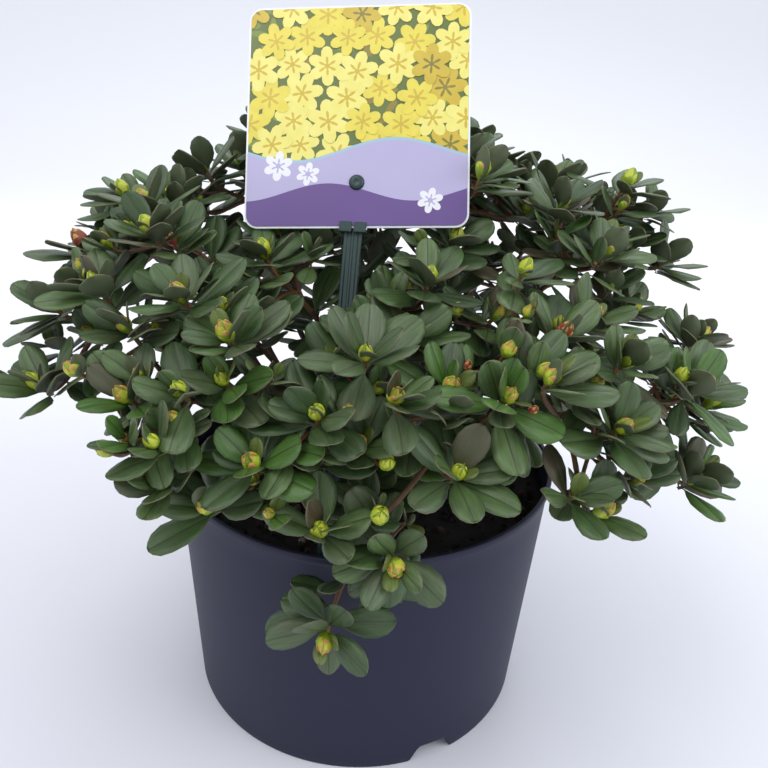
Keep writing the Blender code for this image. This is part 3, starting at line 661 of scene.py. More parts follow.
def tube(points, radii, sides=6):
    """Corners and faces of a plain tube, for testing room."""
    pile = Pile()
    limb(pile, points, [r + LEAF_CLEAR for r in radii], sides, 0)
    faces = [tuple(int(c) for c in f if c >= 0) for f in pile.faces[0]]
    return pile.verts[0], faces


class Foliage:
    """The crown as it grows: its twigs, its leaves and its buds, each kept off the rest."""

    def __init__(self):
        self.crowd = Crowd()
        self.leaves = []
        self.twigs = []
        self.buds = []

    def try_leaf(self, mass, root, way, up, length, ratio, tone, rng):
        """Lays one leaf at its root if there is room: steeper, turned or shorter if need be."""
        shape = dict(
            width=length * ratio, fold=rng.uniform(*FOLD), curl=rng.uniform(*CURL),
            wave=rng.uniform(*WAVE), phase=rng.uniform(0, ROUND), twist=rng.normal(0, TWIST),
            arch=rng.uniform(*ARCH), bend=rng.normal(0, BEND))
        side = up.cross(way)
        for lift, aside, share in TRIES:
            w = (way * cos(aside) + side * sin(aside)).normalized()
            s = up.cross(w)
            w2 = w * cos(lift) + up * sin(lift)
            u2 = up * cos(lift) - w * sin(lift)
            leaf = {k: np.array([v]) for k, v in shape.items()}
            leaf.update(root=np.array([tuple(root)]), way=np.array([tuple(w2)]),
                        side=np.array([tuple(s)]), up=np.array([tuple(u2)]),
                        length=np.array([length * share]))
            leaf["width"] = leaf["width"] * share
            full = leaf_points(leaf, GUARD_ALONG, GUARD_ACROSS, GUARD_DROP)[0]
            if in_view(full) or not inside(full, mass["walls"]) or beyond(full, mass["box"]):
                continue
            blade = leaf_points(leaf, np.maximum(GUARD_ALONG, GUARD_FROM), GUARD_ACROSS,
                                GUARD_DROP)[0]
            if self.crowd.meets(full, GUARD_FACES, mass["name"]):
                continue
            if self.crowd.meets(blade, GUARD_FACES):
                continue
            self.crowd.add(full, GUARD_FACES, mass["name"])
            leaf["tone"] = tone
            self.leaves.append(leaf)
            return True
        return False

    def whorl(self, mass, at, facing, count, length, rng, young=INNER_LEAVES):
        """Leaves round a shoot's end by the golden angle: the outer ones lie flat and long,
        the inner ones stand up and are short, and the last few are young."""
        level, rise = across(facing)
        phase = rng.uniform(0, 2 * pi)
        fresh = rng.uniform() < (FRESH_LOW if mass["bud"].z < FRESH_BELOW else FRESH_SHARE)
        tones = rng.integers(0, GREENS - 1, 2)
        for i in range(count + young):
            turn = phase + GOLDEN * i + rng.uniform(-TURN_JITTER, TURN_JITTER)
            q = i / (count - 1) if i < count else 1.0
            outward = level * cos(turn) + rise * sin(turn)
            tilt = RISE_FIRST + (RISE_LAST - RISE_FIRST) * q**RISE_POWER
            tilt += rng.uniform(-RISE_JITTER, RISE_JITTER)
            size = length * (1.05 - 0.30 * q) * rng.uniform(*SIZE_JITTER)
            kept = rng.uniform() < TONE_KEPT
            tone = int(tones[i % 2]) if kept else int(rng.integers(0, GREENS - 1))
            if fresh and i % 4:
                tone = GREENS - 1
            root = at - facing * (0.0015 + 0.0050 * (1 - q))
            if i >= count:
                tilt = radians(rng.uniform(*YOUNG_RISE))
                size = length * rng.uniform(*YOUNG_SIZE)
                tone = SLOT_YOUNG
                root = at - facing * 0.0006
            elif rng.uniform() < BRONZE_SHARE:
                tone = SLOT_BRONZE
            way = outward * cos(tilt) + facing * sin(tilt)
            up = facing * cos(tilt) - outward * sin(tilt)
            way = (way + LIGHT * LIGHT_LIFT).normalized()
            up = up + LIGHT * LIGHT_TURN
            up = (up - way * up.dot(way)).normalized()
            ratio = LEAF_RATIO * rng.uniform(*RATIO_JITTER)
            self.try_leaf(mass, root, way, up, size, ratio, tone, rng)

    def grow_twig(self, mass, points, radii):
        """Adds a twig if it touches nothing that isn't its own mass's."""
        verts, faces = tube(points, radii)
        if self.crowd.meets(verts, faces, mass["name"]):
            return False
        self.crowd.add(verts, faces, mass["name"])
        self.twigs.append((points, radii))
        return True


def grow_crown(masses, foliage):
    """Every mass's shoots first, then the leaf whorls, then finer shoots with their whorls."""
    shoots = {}
    for index, mass in enumerate(masses):
        mass["walls"] = cell_walls(mass, masses)
        mass["box"] = mass_box(mass)
        rng = np.random.default_rng([SEED, index])
        shoots[index] = []
        for number, shoot in enumerate(shoots_of(mass, rng)):
            start, start_way, bud, facing = shoot
            whorl = bud - facing * BUD_LENGTH * BUD_SEAT
            path = bow(start, start_way, whorl, facing, 10)
            if number == 0:
                path.insert(0, start - mass["way"] * 0.0006)
            radii = np.linspace(STEM_R if number == 0 else SHOOT_R * 1.15, SHOOT_R, len(path))
            tip = np.array([tuple(bud)])
            if in_view(tip) or beyond(tip, mass["box"]):
                continue
            if foliage.grow_twig(mass, path, radii):
                shoots[index].append((path, whorl, facing))
    for index, mass in enumerate(masses):
        rng = np.random.default_rng([SEED, 200 + index])
        for path, whorl, facing in shoots[index]:
            foliage.buds.append((whorl - facing * 0.0008, facing, rng.uniform(0.9, 1.2),
                                 int(rng.integers(0, 1000))))
            foliage.whorl(mass, whorl, facing, MAIN_LEAVES, LEAF_LENGTH, rng)
    for index, mass in enumerate(masses):
        rng = np.random.default_rng([SEED, 400 + index])
        for path, whorl, facing in shoots[index]:
            grow_finer(mass, path, facing, foliage, rng)
    for index, mass in enumerate(masses):
        rng = np.random.default_rng([SEED, 600 + index])
        for path, whorl, facing in shoots[index]:
            lower_leaves(mass, path, foliage, rng, LOWER_LEAVES)
        bough = bough_path(mass)
        first = int(len(bough) * BOUGH_LEAVES_FROM)
        mass["box"] = bough_box(mass, bough[first:])
        for _ in range(BOUGH_ROUNDS):
            lower_leaves(mass, bough[first:], foliage, rng, BOUGH_LEAVES)


def grow_finer(mass, path, facing, foliage, rng):
    """Side shoots off a shoot: short twigs that turn up to the light and end in a whorl.

    Over the pot's left side a few more of them droop.
    """
    for number in range(SIDE_SHOOTS + DROOP_SHOOTS * droops(mass)):
        at = path[int(rng.integers(3, 8))]
        turn = rng.uniform(0, 2 * pi)
        level, rise = across(facing)
        aside = level * cos(turn) + rise * sin(turn)
        length = rng.uniform(*SIDE_LENGTH)
        if number >= SIDE_SHOOTS:
            aside = level * cos(turn) * 0.4 - rise
            length = rng.uniform(*DROOP_LENGTH)
        way = (aside * 0.95 + facing * 0.45).normalized()
        face = (facing + aside * 0.35 + LIGHT * 0.35).normalized()
        end = at + way * length
        points = bow(at, way, end, face, 6)
        radii = np.linspace(SHOOT_R * 0.95, SHOOT_R * 0.75, 6)
        verts = np.array([tuple(p) for p in points])
        if in_view(verts) or not inside(verts, mass["walls"]) or beyond(verts, mass["box"]):
            continue
        if not foliage.grow_twig(mass, points, radii):
            continue
        if rng.uniform() < SIDE_BUDS:
            foliage.buds.append((end, face, rng.uniform(0.62, 0.95), int(rng.integers(0, 1000))))
        foliage.whorl(mass, end, face, SIDE_LEAVES, LEAF_LENGTH * SIDE_SCALE, rng,
                      SIDE_INNER_LEAVES)
        lower_leaves(mass, points, foliage, rng, SIDE_LOWER_LEAVES)


def lower_leaves(mass, path, foliage, rng, count):
    """Old leaves along a shoot or a bough, from under its end back to its start."""
    phase = rng.uniform(0, 2 * pi)
    for i in range(count):
        k = len(path) - 2 - i
        if k < 1:
            break
        way_on = (path[k + 1] - path[k]).normalized()
        level, rise = across(way_on)
        turn = phase + GOLDEN * i
        outward = level * cos(turn) + rise * sin(turn)
        if outward.z < LOWER_DOWN:
            outward = -outward
        tilt = radians(rng.uniform(*LOWER_RISE))
        way = outward * cos(tilt) + way_on * sin(tilt)
        up = LIGHT * 0.9 + way_on * 0.4
        up = (up - way * up.dot(way)).normalized()
        size = LEAF_LENGTH * rng.uniform(*LOWER_SIZE)
        tone = int(rng.integers(0, GREENS - 1))
        ratio = LEAF_RATIO * rng.uniform(*LOWER_RATIO)
        foliage.try_leaf(mass, path[k], way, up, size, ratio, tone, rng)


def build_leaves(leaves, name, mats):
    """One joined piece of leaves: each template face takes its leaf's green or its own part."""
    along, across_it, layer, faces, kinds = leaf_template()
    drop = layer * LEAF_THICK
    keys = [k for k in leaves[0] if k != "tone"]
    packed = {k: np.concatenate([leaf[k] for leaf in leaves]) for k in keys}
    verts = leaf_points(packed, along, across_it, drop)
    tones = np.array([leaf["tone"] for leaf in leaves])
    n, corners = verts.shape[:2]
    shifted = faces[None] + (np.arange(n) * corners)[:, None, None]
    shifted = np.where(faces[None] < 0, -1, shifted).reshape(-1, 4)
    part = np.array([0, SLOT_RIB, SLOT_UNDER, SLOT_EDGE])[kinds]
    slots = np.where(kinds[None] == 0, tones[:, None], part[None])
    slots = np.where((kinds[None] == 1) & (tones[:, None] >= SLOT_YOUNG), tones[:, None], slots)
    uvs = np.stack([along, 0.5 + 0.5 * across_it * outline(along)], axis=-1)
    pile = Pile()
    pile.add(verts, shifted, slots.reshape(-1), np.tile(kinds != 3, n), np.tile(uvs, (n, 1)))
    return pile.build(name, mats)


BUD_GREEN, BUD_YELLOW, BUD_TIP, BUD_RED = range(4)
BRACTS = 9
BUD_PLUMP = 1.42
BUD_LONG = 1.18
BRACT_U = np.array((-1.0, -0.62, 0.0, 0.62, 1.0))
BRACT_V = np.array((0.0, 0.38, 0.66, 0.88, 1.0, 1.0))
TIP_ROW = 2


def bud_profile(t):
    """A bud's radius at a share of its length: a plump egg shape, pointed at the tip."""
    return np.clip(np.sin(pi * np.clip(t * 0.90 + 0.09, 0, 1)), 0, 1) ** 0.72


def bud_parts():
    """A bud standing on the origin along +Z, of unit radius and length: its core and bracts.

    Each bract is a pointed patch that follows the core a little proud of it, its sides and
    its end dipped back under the core.
    """
    parts = []
    t = np.linspace(0, 1, 7)
    turn = 2 * pi * np.arange(8) / 8
    r = bud_profile(t)[:, None] * 0.93
    rise = np.repeat(t[:, None], 8, axis=1)
    core = np.stack([r * np.cos(turn), r * np.sin(turn), rise], axis=-1)
    parts.append((core.reshape(-1, 3), grid_faces(7, 8, True), -1))
    for i in range(BRACTS):
        q = i / (BRACTS - 1)
        start = 0.62 * q - 0.04
        end = min(start + 0.50, 1.0)
        v, u = np.meshgrid(BRACT_V, BRACT_U, indexing="ij")
        t = start + (end - start) * v
        wide = (0.95 - 0.25 * q) * np.sqrt(np.clip(1 - v**2.4, 0.03, 1))
        turn = GOLDEN * i + u * wide
        proud = 0.03 + 0.10 * v * (1 - 0.5 * q)
        proud = proud * (1 - np.abs(u) ** 3) - 0.06 * np.abs(u) ** 6
        proud[-1] = -0.09
        r = np.maximum(bud_profile(np.clip(t, 0, 1)) + proud, 0.02)
        patch = np.stack([r * np.cos(turn), r * np.sin(turn), t + 0.02 * v], axis=-1)
        parts.append((patch.reshape(-1, 3), grid_faces(len(BRACT_V), len(BRACT_U)), q))
    return parts


def build_buds(buds, name, mats):
    """All the flower buds: plump, scaled, yellow-green, many with bronze tips, some red."""
    pile = Pile()
    parts = bud_parts()
    for at, facing, size, seed in buds:
        level, rise = across(facing)
        turn = seed * 1.7
        x = np.array(tuple(level * cos(turn) + rise * sin(turn)))
        z = np.array(tuple(facing))
        y = np.cross(z, x)
        red = seed % 20 == 0
        blushed = seed % 20 < 12
        radius = BUD_R * BUD_PLUMP * size
        length = BUD_LENGTH * BUD_LONG * size * (0.95 + 0.02 * (seed % 7))
        for verts, faces, q in parts:
            plain = BUD_RED if red else (BUD_YELLOW if q > 0.4 else BUD_GREEN)
            tip = BUD_TIP if (red or blushed) and q > 0.3 else plain
            rows = np.arange(len(faces)) // (len(BRACT_U) - 1)
            slots = np.where((rows >= TIP_ROW) & (q >= 0), tip, plain)
            placed = (np.array(tuple(at)) + np.outer(verts[:, 0] * radius, x)
                      + np.outer(verts[:, 1] * radius, y) + np.outer(verts[:, 2] * length, z))
            pile.add(placed, faces, slots)
    return pile.build(name, mats)


TWIG_YOUNG, TWIG_OLD = 0, 1
TWIG_SIDES = 8
TWIG_RELIEF = 0.00010
BETWEEN = 3


def build_twigs(twigs, name, mats):
    """Every green or red-brown shoot, a slim limb with a little relief; one in three is old."""
    pile = Pile()
    for number, (points, radii) in enumerate(twigs):
        fine = smooth_path(points, BETWEEN)
        r = np.interp(np.linspace(0, 1, len(fine)), np.linspace(0, 1, len(radii)), radii)
        slot = TWIG_YOUNG if number % 3 else TWIG_OLD
        limb(pile, fine, r, TWIG_SIDES, slot, TWIG_RELIEF, 3, number * 1.3)
    return pile.build(name, mats)


def smooth_path(points, steps):
    """More points on a path, by a cubic from each point to the next with the ways shared."""
    p = np.array([tuple(q) for q in points], dtype=float)
    before = np.concatenate([2 * p[:1] - p[1:2], p[:-1]])
    after = np.concatenate([p[1:], 2 * p[-1:] - p[-2:-1]])
    way = (after - before) / 2
    out = []
    for i in range(len(p) - 1):
        for k in range(steps):
            t = k / steps
            out.append((2 * t**3 - 3 * t**2 + 1) * p[i] + (t**3 - 2 * t**2 + t) * way[i]
                       + (3 * t**2 - 2 * t**3) * p[i + 1] + (t**3 - t**2) * way[i + 1])
    out.append(p[-1])
    return out


# How far a bough runs on into the trunk, and how many of its points lie there
BOUGH_GROWN = 0.0028
INTO_TRUNK = 2


def bough_path(mass):
    """A bough's path by the solids' rule, run on into the trunk for a grown join."""
    z = mass["root_z"]
    bearing = mass["root_bearing"]
    top = SOIL_Z + TRUNK_HEIGHT
    if z > top:
        start = trunk_at(top) + polar(bearing, TRUNK_TOP_R * TOP_RING, 0)
        start.z = top + GAP
        way = Vector((0, 0, 1))
    else:
        way = polar(bearing, 1.0, BOUGH_RISE).normalized()
        start = trunk_at(z) + polar(bearing, trunk_radius(z) + GAP + BOUGH_R * BOUGH_SINK, 0)
        start.z = z
    end = mass["stem"] - mass["way"] * GAP
    straight = end - mass["way"] * STRAIGHT
    points = bow(start + way * STRAIGHT, way, straight, mass["way"], 14)
    return [start - way * BOUGH_GROWN, start] + points + [end]


TRUNK_SIDES = 40
TRUNK_RELIEF = 0.00022
BOUGH_SIDES = 16
BOUGH_RELIEF = 0.00013
COLLAR = 0.0009
KNOT = 0.00016


def build_wood(masses, name, mats):
    """Trunk and boughs in one piece: ridged bark, collars where boughs leave, leaf scars.

    A bough's radius tapers evenly, with a collar that fades from its root and a knot at each
    peak of a sine along it.
    """
    pile = Pile()
    top = SOIL_Z + TRUNK_HEIGHT
    heights = np.linspace(SOIL_Z + SOIL_CROWN - 0.002, top, 26)
    points = [trunk_at(z) for z in heights]
    radii = [trunk_radius(max(z, SOIL_Z)) * (1 if z < top - 0.001 else 0.93) for z in heights]
    limb(pile, points, radii, TRUNK_SIDES, 0, TRUNK_RELIEF, 9, 0.4)
    for number, mass in enumerate(masses):
        points = smooth_path(bough_path(mass), BETWEEN)
        n = len(points)
        r = BOUGH_R + (BOUGH_TIP_R - BOUGH_R) * np.linspace(0, 1, n)
        collar = COLLAR * np.exp(-np.arange(n) / 2.2)
        knots = KNOT * np.maximum(0, np.sin(np.arange(n) * 1.15 + number)) ** 6
        limb(pile, points, r + collar + knots, BOUGH_SIDES, 0, BOUGH_RELIEF, 5, number * 2.1)
    return pile.build(name, mats)


def pot_radius(z):
    """The outer radius of the pot's wall at a height."""
    return POT_FOOT_R + (POT_RIM_R - POT_FOOT_R) * z / POT_HEIGHT


POT_SIDES = 180
HUB_SLOPE = 0.0006
FOOT_DEEP = 0.006
NOTCH_ROUND = 0.8


def pot_profile():
    """The pot's section from the hub's middle out, up the wall, over the lip and back down
    inside: its points, and how many of them are on the outer side."""
    lip_z = POT_HEIGHT - POT_LIP_HEIGHT
    lip_r, foot_r = pot_radius(lip_z), POT_FOOT_R - 2 * POT_WALL
    floor, floor_r = POT_FLOOR_Z, pot_radius(POT_FLOOR_Z)
    in_z, rim_r, wall = POT_FLOOR_Z + POT_WALL, POT_RIM_R + POT_LIP, POT_WALL
    outer = [(0.0, 0.0), (POT_HUB_R - 0.0006, 0.0), (POT_HUB_R, 0.0003),
             (POT_HUB_R + HUB_SLOPE, floor - 0.0004), (POT_HUB_R + HUB_SLOPE + 0.0006, floor)]
    outer += [(r, floor) for r in np.linspace(0.03, floor_r - 2 * wall - 0.0006, 6)]
    outer += [(floor_r - 2 * wall, floor - 0.0005), (foot_r, 0.0005), (foot_r + 0.0004, 0.0),
              (POT_FOOT_R - 0.0010, 0.0), (POT_FOOT_R - 0.0003, 0.0003)]
    heights = (0.0011, 0.005, NOTCH_HEIGHT - 0.0003, 0.0102, 0.012,
               *np.linspace(0.016, lip_z - 0.0006, 16))
    outer += [(pot_radius(z), z) for z in heights]
    outer += [(lip_r + 0.0002, lip_z - 0.0001), (lip_r + 0.0007, lip_z + 0.0004),
              (rim_r - 0.0001, lip_z + 0.0012), (rim_r, POT_HEIGHT - 0.0010),
              (rim_r - 0.0002, POT_HEIGHT - 0.0003), (POT_RIM_R + 0.0005, POT_HEIGHT),
              (POT_RIM_R - wall + 0.0004, POT_HEIGHT), (POT_RIM_R - wall, POT_HEIGHT - 0.0004)]
    inner = [(pot_radius(z) - wall, z) for z in np.linspace(POT_HEIGHT - 0.003, floor + 0.004, 12)]
    inner += [(floor_r - wall, in_z + 0.0006), (floor_r - wall - 0.001, in_z),
              (POT_HUB_R + wall, in_z), (POT_HUB_R - 0.0006, wall), (0.0, wall)]
    return np.array(outer + inner), len(outer)


def build_pot(name, mats):
    """The pot as a fine turned solid, its foot ring lifted at each notch.

    The lift grows evenly over a notch's slanted side and eases off at its top, and every
    corner of the foot below that height is lifted to it.
    """
    profile, outer = pot_profile()
    notches = [NOTCH_TURN + 2 * pi * i / NOTCHES for i in range(NOTCHES)]
    half = NOTCH_WIDTH / 2 / POT_FOOT_R
    turn = [2 * pi * i / POT_SIDES for i in range(POT_SIDES)]
    edges = (*np.linspace(NOTCH_TOP - 0.12, NOTCH_TOP + 0.08, 6), 0.8, 0.95, 1.0, 1.01)
    turn += [centre + side * half * e for centre in notches for e in edges for side in (-1, 1)]
    turn = np.unique(np.round(np.mod(turn, 2 * pi), 6))
    apart = np.min([np.abs(np.mod(turn - centre + pi, 2 * pi) - pi) for centre in notches], axis=0)
    slant = np.clip((1.0 - apart / half) / (1.0 - NOTCH_TOP), 0, 1.3)
    eased = NOTCH_ROUND + (1 - NOTCH_ROUND) * np.sin((slant - NOTCH_ROUND) * pi)
    lift = NOTCH_HEIGHT * np.where(slant < NOTCH_ROUND, slant, eased)
    r, flat = profile[:, 0][:, None], profile[:, 1][:, None]
    foot = (r > POT_FOOT_R - FOOT_DEEP) & (np.arange(len(profile))[:, None] < outer)
    z = np.repeat(flat, len(turn), axis=1)
    z = np.where(foot, np.maximum(z, np.where(z < POT_FLOOR_Z + 0.001, lift[None], 0)), z)
    on_wall = foot & (flat > 0.0005) & (r > POT_FOOT_R - 0.0005)
    r = np.where(on_wall, pot_radius(z) + r - pot_radius(flat), r)
    r = np.broadcast_to(r, z.shape)
    verts = np.stack([r * np.cos(turn), r * np.sin(turn), z], axis=-1)
    pile = Pile()
    pile.add(verts, grid_faces(len(profile), len(turn), True)[:, ::-1], 0)
    obj = pile.build(name, mats)
    mend(obj.data, 0.000004)
    drill_drains(obj)
    obj.data.set_sharp_from_angle(angle=radians(38))
    return obj


def drill_drains(obj):
    """The drain holes in the pot's floor."""
    bm = bmesh.new()
    for i in range(DRAINS):
        turn = NOTCH_TURN + 2 * pi * i / DRAINS
        at = Matrix.Translation((DRAIN_RING_R * cos(turn), DRAIN_RING_R * sin(turn), POT_FLOOR_Z))
        bmesh.ops.create_cone(bm, cap_ends=True, segments=24, radius1=DRAIN_R, radius2=DRAIN_R,
                              depth=0.006, matrix=at)
    mesh = bpy.data.meshes.new("drains")
    bm.to_mesh(mesh)
    bm.free()
    cutter = bpy.data.objects.new("drains", mesh)
    bpy.context.scene.collection.objects.link(cutter)
    mod = obj.modifiers.new("drill", "BOOLEAN")
    mod.operation = "DIFFERENCE"
    mod.object = cutter
    graph = bpy.context.evaluated_depsgraph_get()
    drilled = bpy.data.meshes.new_from_object(obj.evaluated_get(graph), depsgraph=graph)
    obj.modifiers.clear()
    obj.data = drilled
    bpy.data.objects.remove(cutter)


SOIL_RINGS = 60
SOIL_SIDES = 150
LUMP = 0.0013
LUMP_SCALE = 90
CRUMBS = 900
SOIL_DARK, SOIL_BARK, SOIL_GRAIN = range(3)


def build_soil(name, mats):
    """Potting compost: a lumpy top, and crumbs, bark chips and pale grains lying in it."""
    pile = Pile()
    rings = np.concatenate([[0.0], np.linspace(0.006, 1.0, SOIL_RINGS)])
    turn = 2 * pi * np.arange(SOIL_SIDES) / SOIL_SIDES
    room = POT_WALL + 0.0004
    edge = pot_radius(SOIL_Z) - room
    r = rings[:, None] * edge
    x, y = r * np.cos(turn), r * np.sin(turn)
    flat = [noise.fractal(Vector((a * LUMP_SCALE, b * LUMP_SCALE, 1.0)), 0.9, 2.1, 5)
            for a, b in zip(x.ravel(), y.ravel())]
    lumps = np.array(flat).reshape(x.shape) * LUMP
    z = SOIL_Z + SOIL_CROWN * np.clip(1.6 - 1.6 * rings[:, None], 0, 1) + lumps - 0.0008
    z = np.minimum(z, SOIL_Z + SOIL_CROWN + 0.0012)
    top = np.stack([x, y, z], axis=-1)
    foot = POT_FLOOR_Z + POT_WALL + GAP
    low = np.array([(edge, SOIL_Z - 0.004), (pot_radius(0.02) - room, 0.02),
                    (pot_radius(POT_FLOOR_Z) - room, foot), (POT_HUB_R + 0.003, foot), (0.0, foot)])
    side = np.stack([low[:, :1] * np.cos(turn), low[:, :1] * np.sin(turn),
                     np.repeat(low[:, 1:], SOIL_SIDES, axis=1)], axis=-1)
    verts = np.concatenate([top, side]).reshape(-1, 3)
    pile.add(verts, grid_faces(len(rings) + len(low), SOIL_SIDES, True), 0)
    rng = np.random.default_rng([SEED, 900])
    ball = crumb_shape()
    for i in range(CRUMBS):
        bearing = rng.uniform(0, 2 * pi)
        far = edge * np.sqrt(rng.uniform(0.02, 0.93))
        size = rng.uniform(0.0007, 0.0021) if i % 12 else rng.uniform(0.0016, 0.0030)
        spin = Euler(tuple(rng.uniform(0, 6.28, 3))).to_matrix()
        wide = np.array((1.0, rng.uniform(0.55, 1.0), rng.uniform(0.4, 0.9))) * size
        lump = ball[0] * rng.uniform(0.75, 1.2, (len(ball[0]), 1)) * wide
        at = (far * cos(bearing), far * sin(bearing), SOIL_Z + SOIL_CROWN * 0.5 + 0.0002)
        slot = SOIL_GRAIN if i % 41 == 0 else (SOIL_BARK if i % 12 == 0 else SOIL_DARK)
        pile.add(lump @ np.array(spin).T + at, ball[1], slot, False)
    return pile.build(name, mats)


def crumb_shape():
    """A plain ball of twenty triangles."""
    bm = bmesh.new()
    bmesh.ops.create_icosphere(bm, subdivisions=1, radius=1.0)
    verts = np.array([tuple(v.co) for v in bm.verts])
    faces = np.array([[v.index for v in f.verts] + [-1] for f in bm.faces])
    bm.free()
    return verts, faces


# The label's print: its margin, its height over the card and the step from layer to layer,
# its white flowers (across, up, size), and its inks in the order of their finishes
PRINT_EDGE = 0.0009
PRINT_LIFT = 0.00006
PRINT_STEP = 0.000003
WHITE_DAISIES = ((-0.0350, -0.0225, 0.0062), (-0.0215, -0.0262, 0.0048), (0.0330, -0.0385, 0.0052))
(INK_GREEN, INK_LEAF, INK_YELLOW, INK_PALE, INK_GOLD, INK_LILAC, INK_SKY, INK_PURPLE, INK_WHITE,
 INK_DEEP) = range(10)


def card_outline(inset):
    """The card's outline, round corners and all, set in by a distance."""
    w, h, r = CARD_WIDTH / 2 - inset, CARD_HEIGHT / 2 - inset, CARD_CORNER_R - inset
    points = []
    for corner in range(4):
        turn = pi / 4 + corner * pi / 2
        at_x = (w - r) * (1 if cos(turn) > 0 else -1)
        at_y = (h - r) * (1 if sin(turn) > 0 else -1)
        for step in range(-4, 5):
            a = turn + step * pi / 16
            points.append((at_x + r * cos(a), at_y + r * sin(a)))
    return points


def clipped(shape, border):
    """A flat convex shape cut to a convex border, both anticlockwise, side by side."""
    for a, b in zip(border, border[1:] + border[:1]):
        ex, ey = b[0] - a[0], b[1] - a[1]
        out = []
        for p, q in zip(shape, shape[1:] + shape[:1]):
            dp = ex * (p[1] - a[1]) - ey * (p[0] - a[0])
            dq = ex * (q[1] - a[1]) - ey * (q[0] - a[0])
            if dp >= 0:
                out.append(p)
            if dp * dq < 0:
                t = dp / (dp - dq)
                out.append((p[0] + (q[0] - p[0]) * t, p[1] + (q[1] - p[1]) * t))
        shape = out
        if len(shape) < 3:
            return []
    return shape


def petal(at, turn, length, width, count=12):
    """A rounded petal or leaf: an egg shape from a point, along a turn."""
    out = []
    for i in range(count):
        a = 2 * pi * i / count
        x = length * (0.5 - 0.5 * cos(a))
        y = width / 2 * sin(a) * (0.72 + 0.28 * (x / length))
        out.append((at[0] + x * cos(turn) - y * sin(turn), at[1] + x * sin(turn) + y * cos(turn)))
    return out[::-1]


def build_print(name, mats):
    """The print on the card's face, in thin layers: leafy ground, round-petalled daisies,
    a rolling lilac hill line over a purple foot, and three white daisies on them."""
    border = card_outline(PRINT_EDGE)
    rng = np.random.default_rng([SEED, 700])
    pile = Pile()

    def lay(shape, ink, level):
        """Adds one flat shape at a level, as a fan."""
        shape = clipped(shape, border)
        if len(shape) < 3:
            return
        lift = -CARD_THICK / 2 - PRINT_LIFT - PRINT_STEP * level
        n = len(shape)
        middle = np.mean(np.array(shape), axis=0)
        verts = [(x, lift, y) for x, y in shape] + [(middle[0], lift, middle[1])]
        faces = [(i, (i + 1) % n, n, -1) for i in range(n)]
        pile.add(verts, faces, ink, False)

    def daisy(x, y, size, turn, ink, deep, base):
        """Adds one flower at a level: six round petals, a rib on each and an eye."""
        for i in range(6):
            a = turn + i * pi / 3
            at = (x + 0.0006 * cos(a), y + 0.0006 * sin(a))
            lay(ordered(petal(at, a, size, size * 0.72)), ink, base + (i % 2))
        for i in range(6):
            a = turn + i * pi / 3
            at = (x + 0.0008 * cos(a), y + 0.0008 * sin(a))
            lay(ordered(petal(at, a, size * 0.42, size * 0.16, 8)), deep, base + 2)
        ring = [(x + 0.0012 * cos(t), y + 0.0012 * sin(t)) for t in np.linspace(0, 2 * pi, 11)[:-1]]
        lay(ordered(ring), deep, base + 3)

    if signed_area(border) < 0:
        border = border[::-1]
    lay(border, INK_GREEN, 0)
    for i in range(70):
        at = (rng.uniform(-0.052, 0.052), rng.uniform(-0.020, 0.052))
        shape = petal(at, rng.uniform(0, 6.28), rng.uniform(0.006, 0.010), 0.0035)
        lay(ordered(shape), INK_LEAF if i % 3 else INK_DEEP, 1)
    spots = []
    for row in range(6):
        for k in range(7):
            x = -0.047 + k * 0.0160 + (0.008 if row % 2 else 0.0) + rng.uniform(-0.0026, 0.0026)
            y = 0.0475 - row * 0.0125 + rng.uniform(-0.0024, 0.0024)
            spots.append((x, y))
    order = rng.permutation(len(spots))
    for level, k in enumerate(order):
        x, y = spots[k]
        size = rng.uniform(0.0076, 0.0096)
        turn = rng.uniform(0, 6.28)
        ink = (INK_YELLOW, INK_PALE, INK_YELLOW, INK_PALE, INK_GOLD)[int(rng.integers(0, 5))]
        daisy(x, y, size, turn, ink, INK_GOLD if ink != INK_GOLD else INK_DEEP, 2 + level * 3)
    top = 2 + len(order) * 3 + 4
    hills = ((-0.0150, 0.0050, 1.1, 0.4, INK_SKY), (-0.0163, 0.0050, 1.1, 0.4, INK_LILAC),
             (-0.0345, 0.0040, 1.3, 2.6, INK_PURPLE))
    for number, (height, swell, waves, phase, ink) in enumerate(hills):
        xs = np.linspace(-0.05, 0.05, 61)
        for a, b in zip(xs, xs[1:]):
            ya = height + swell * sin(waves * pi * a / 0.05 + phase)
            yb = height + swell * sin(waves * pi * b / 0.05 + phase)
            lay([(a, -0.052), (b, -0.052), (b, yb), (a, ya)], ink, top + number)
    for i, (x, y, size) in enumerate(WHITE_DAISIES):
        daisy(x, y, size, 0.4 + i, INK_WHITE, INK_LILAC, top + 4 + i * 4)
    obj = pile.build(name, mats)
    obj.data.transform(label_matrix())
    return obj


def signed_area(shape):
    """Twice the area of a flat shape, positive when it runs anticlockwise."""
    return sum(p[0] * q[1] - q[0] * p[1] for p, q in zip(shape, shape[1:] + shape[:1]))


def ordered(shape):
    """The shape, run anticlockwise."""
    return shape if signed_area(shape) > 0 else shape[::-1]


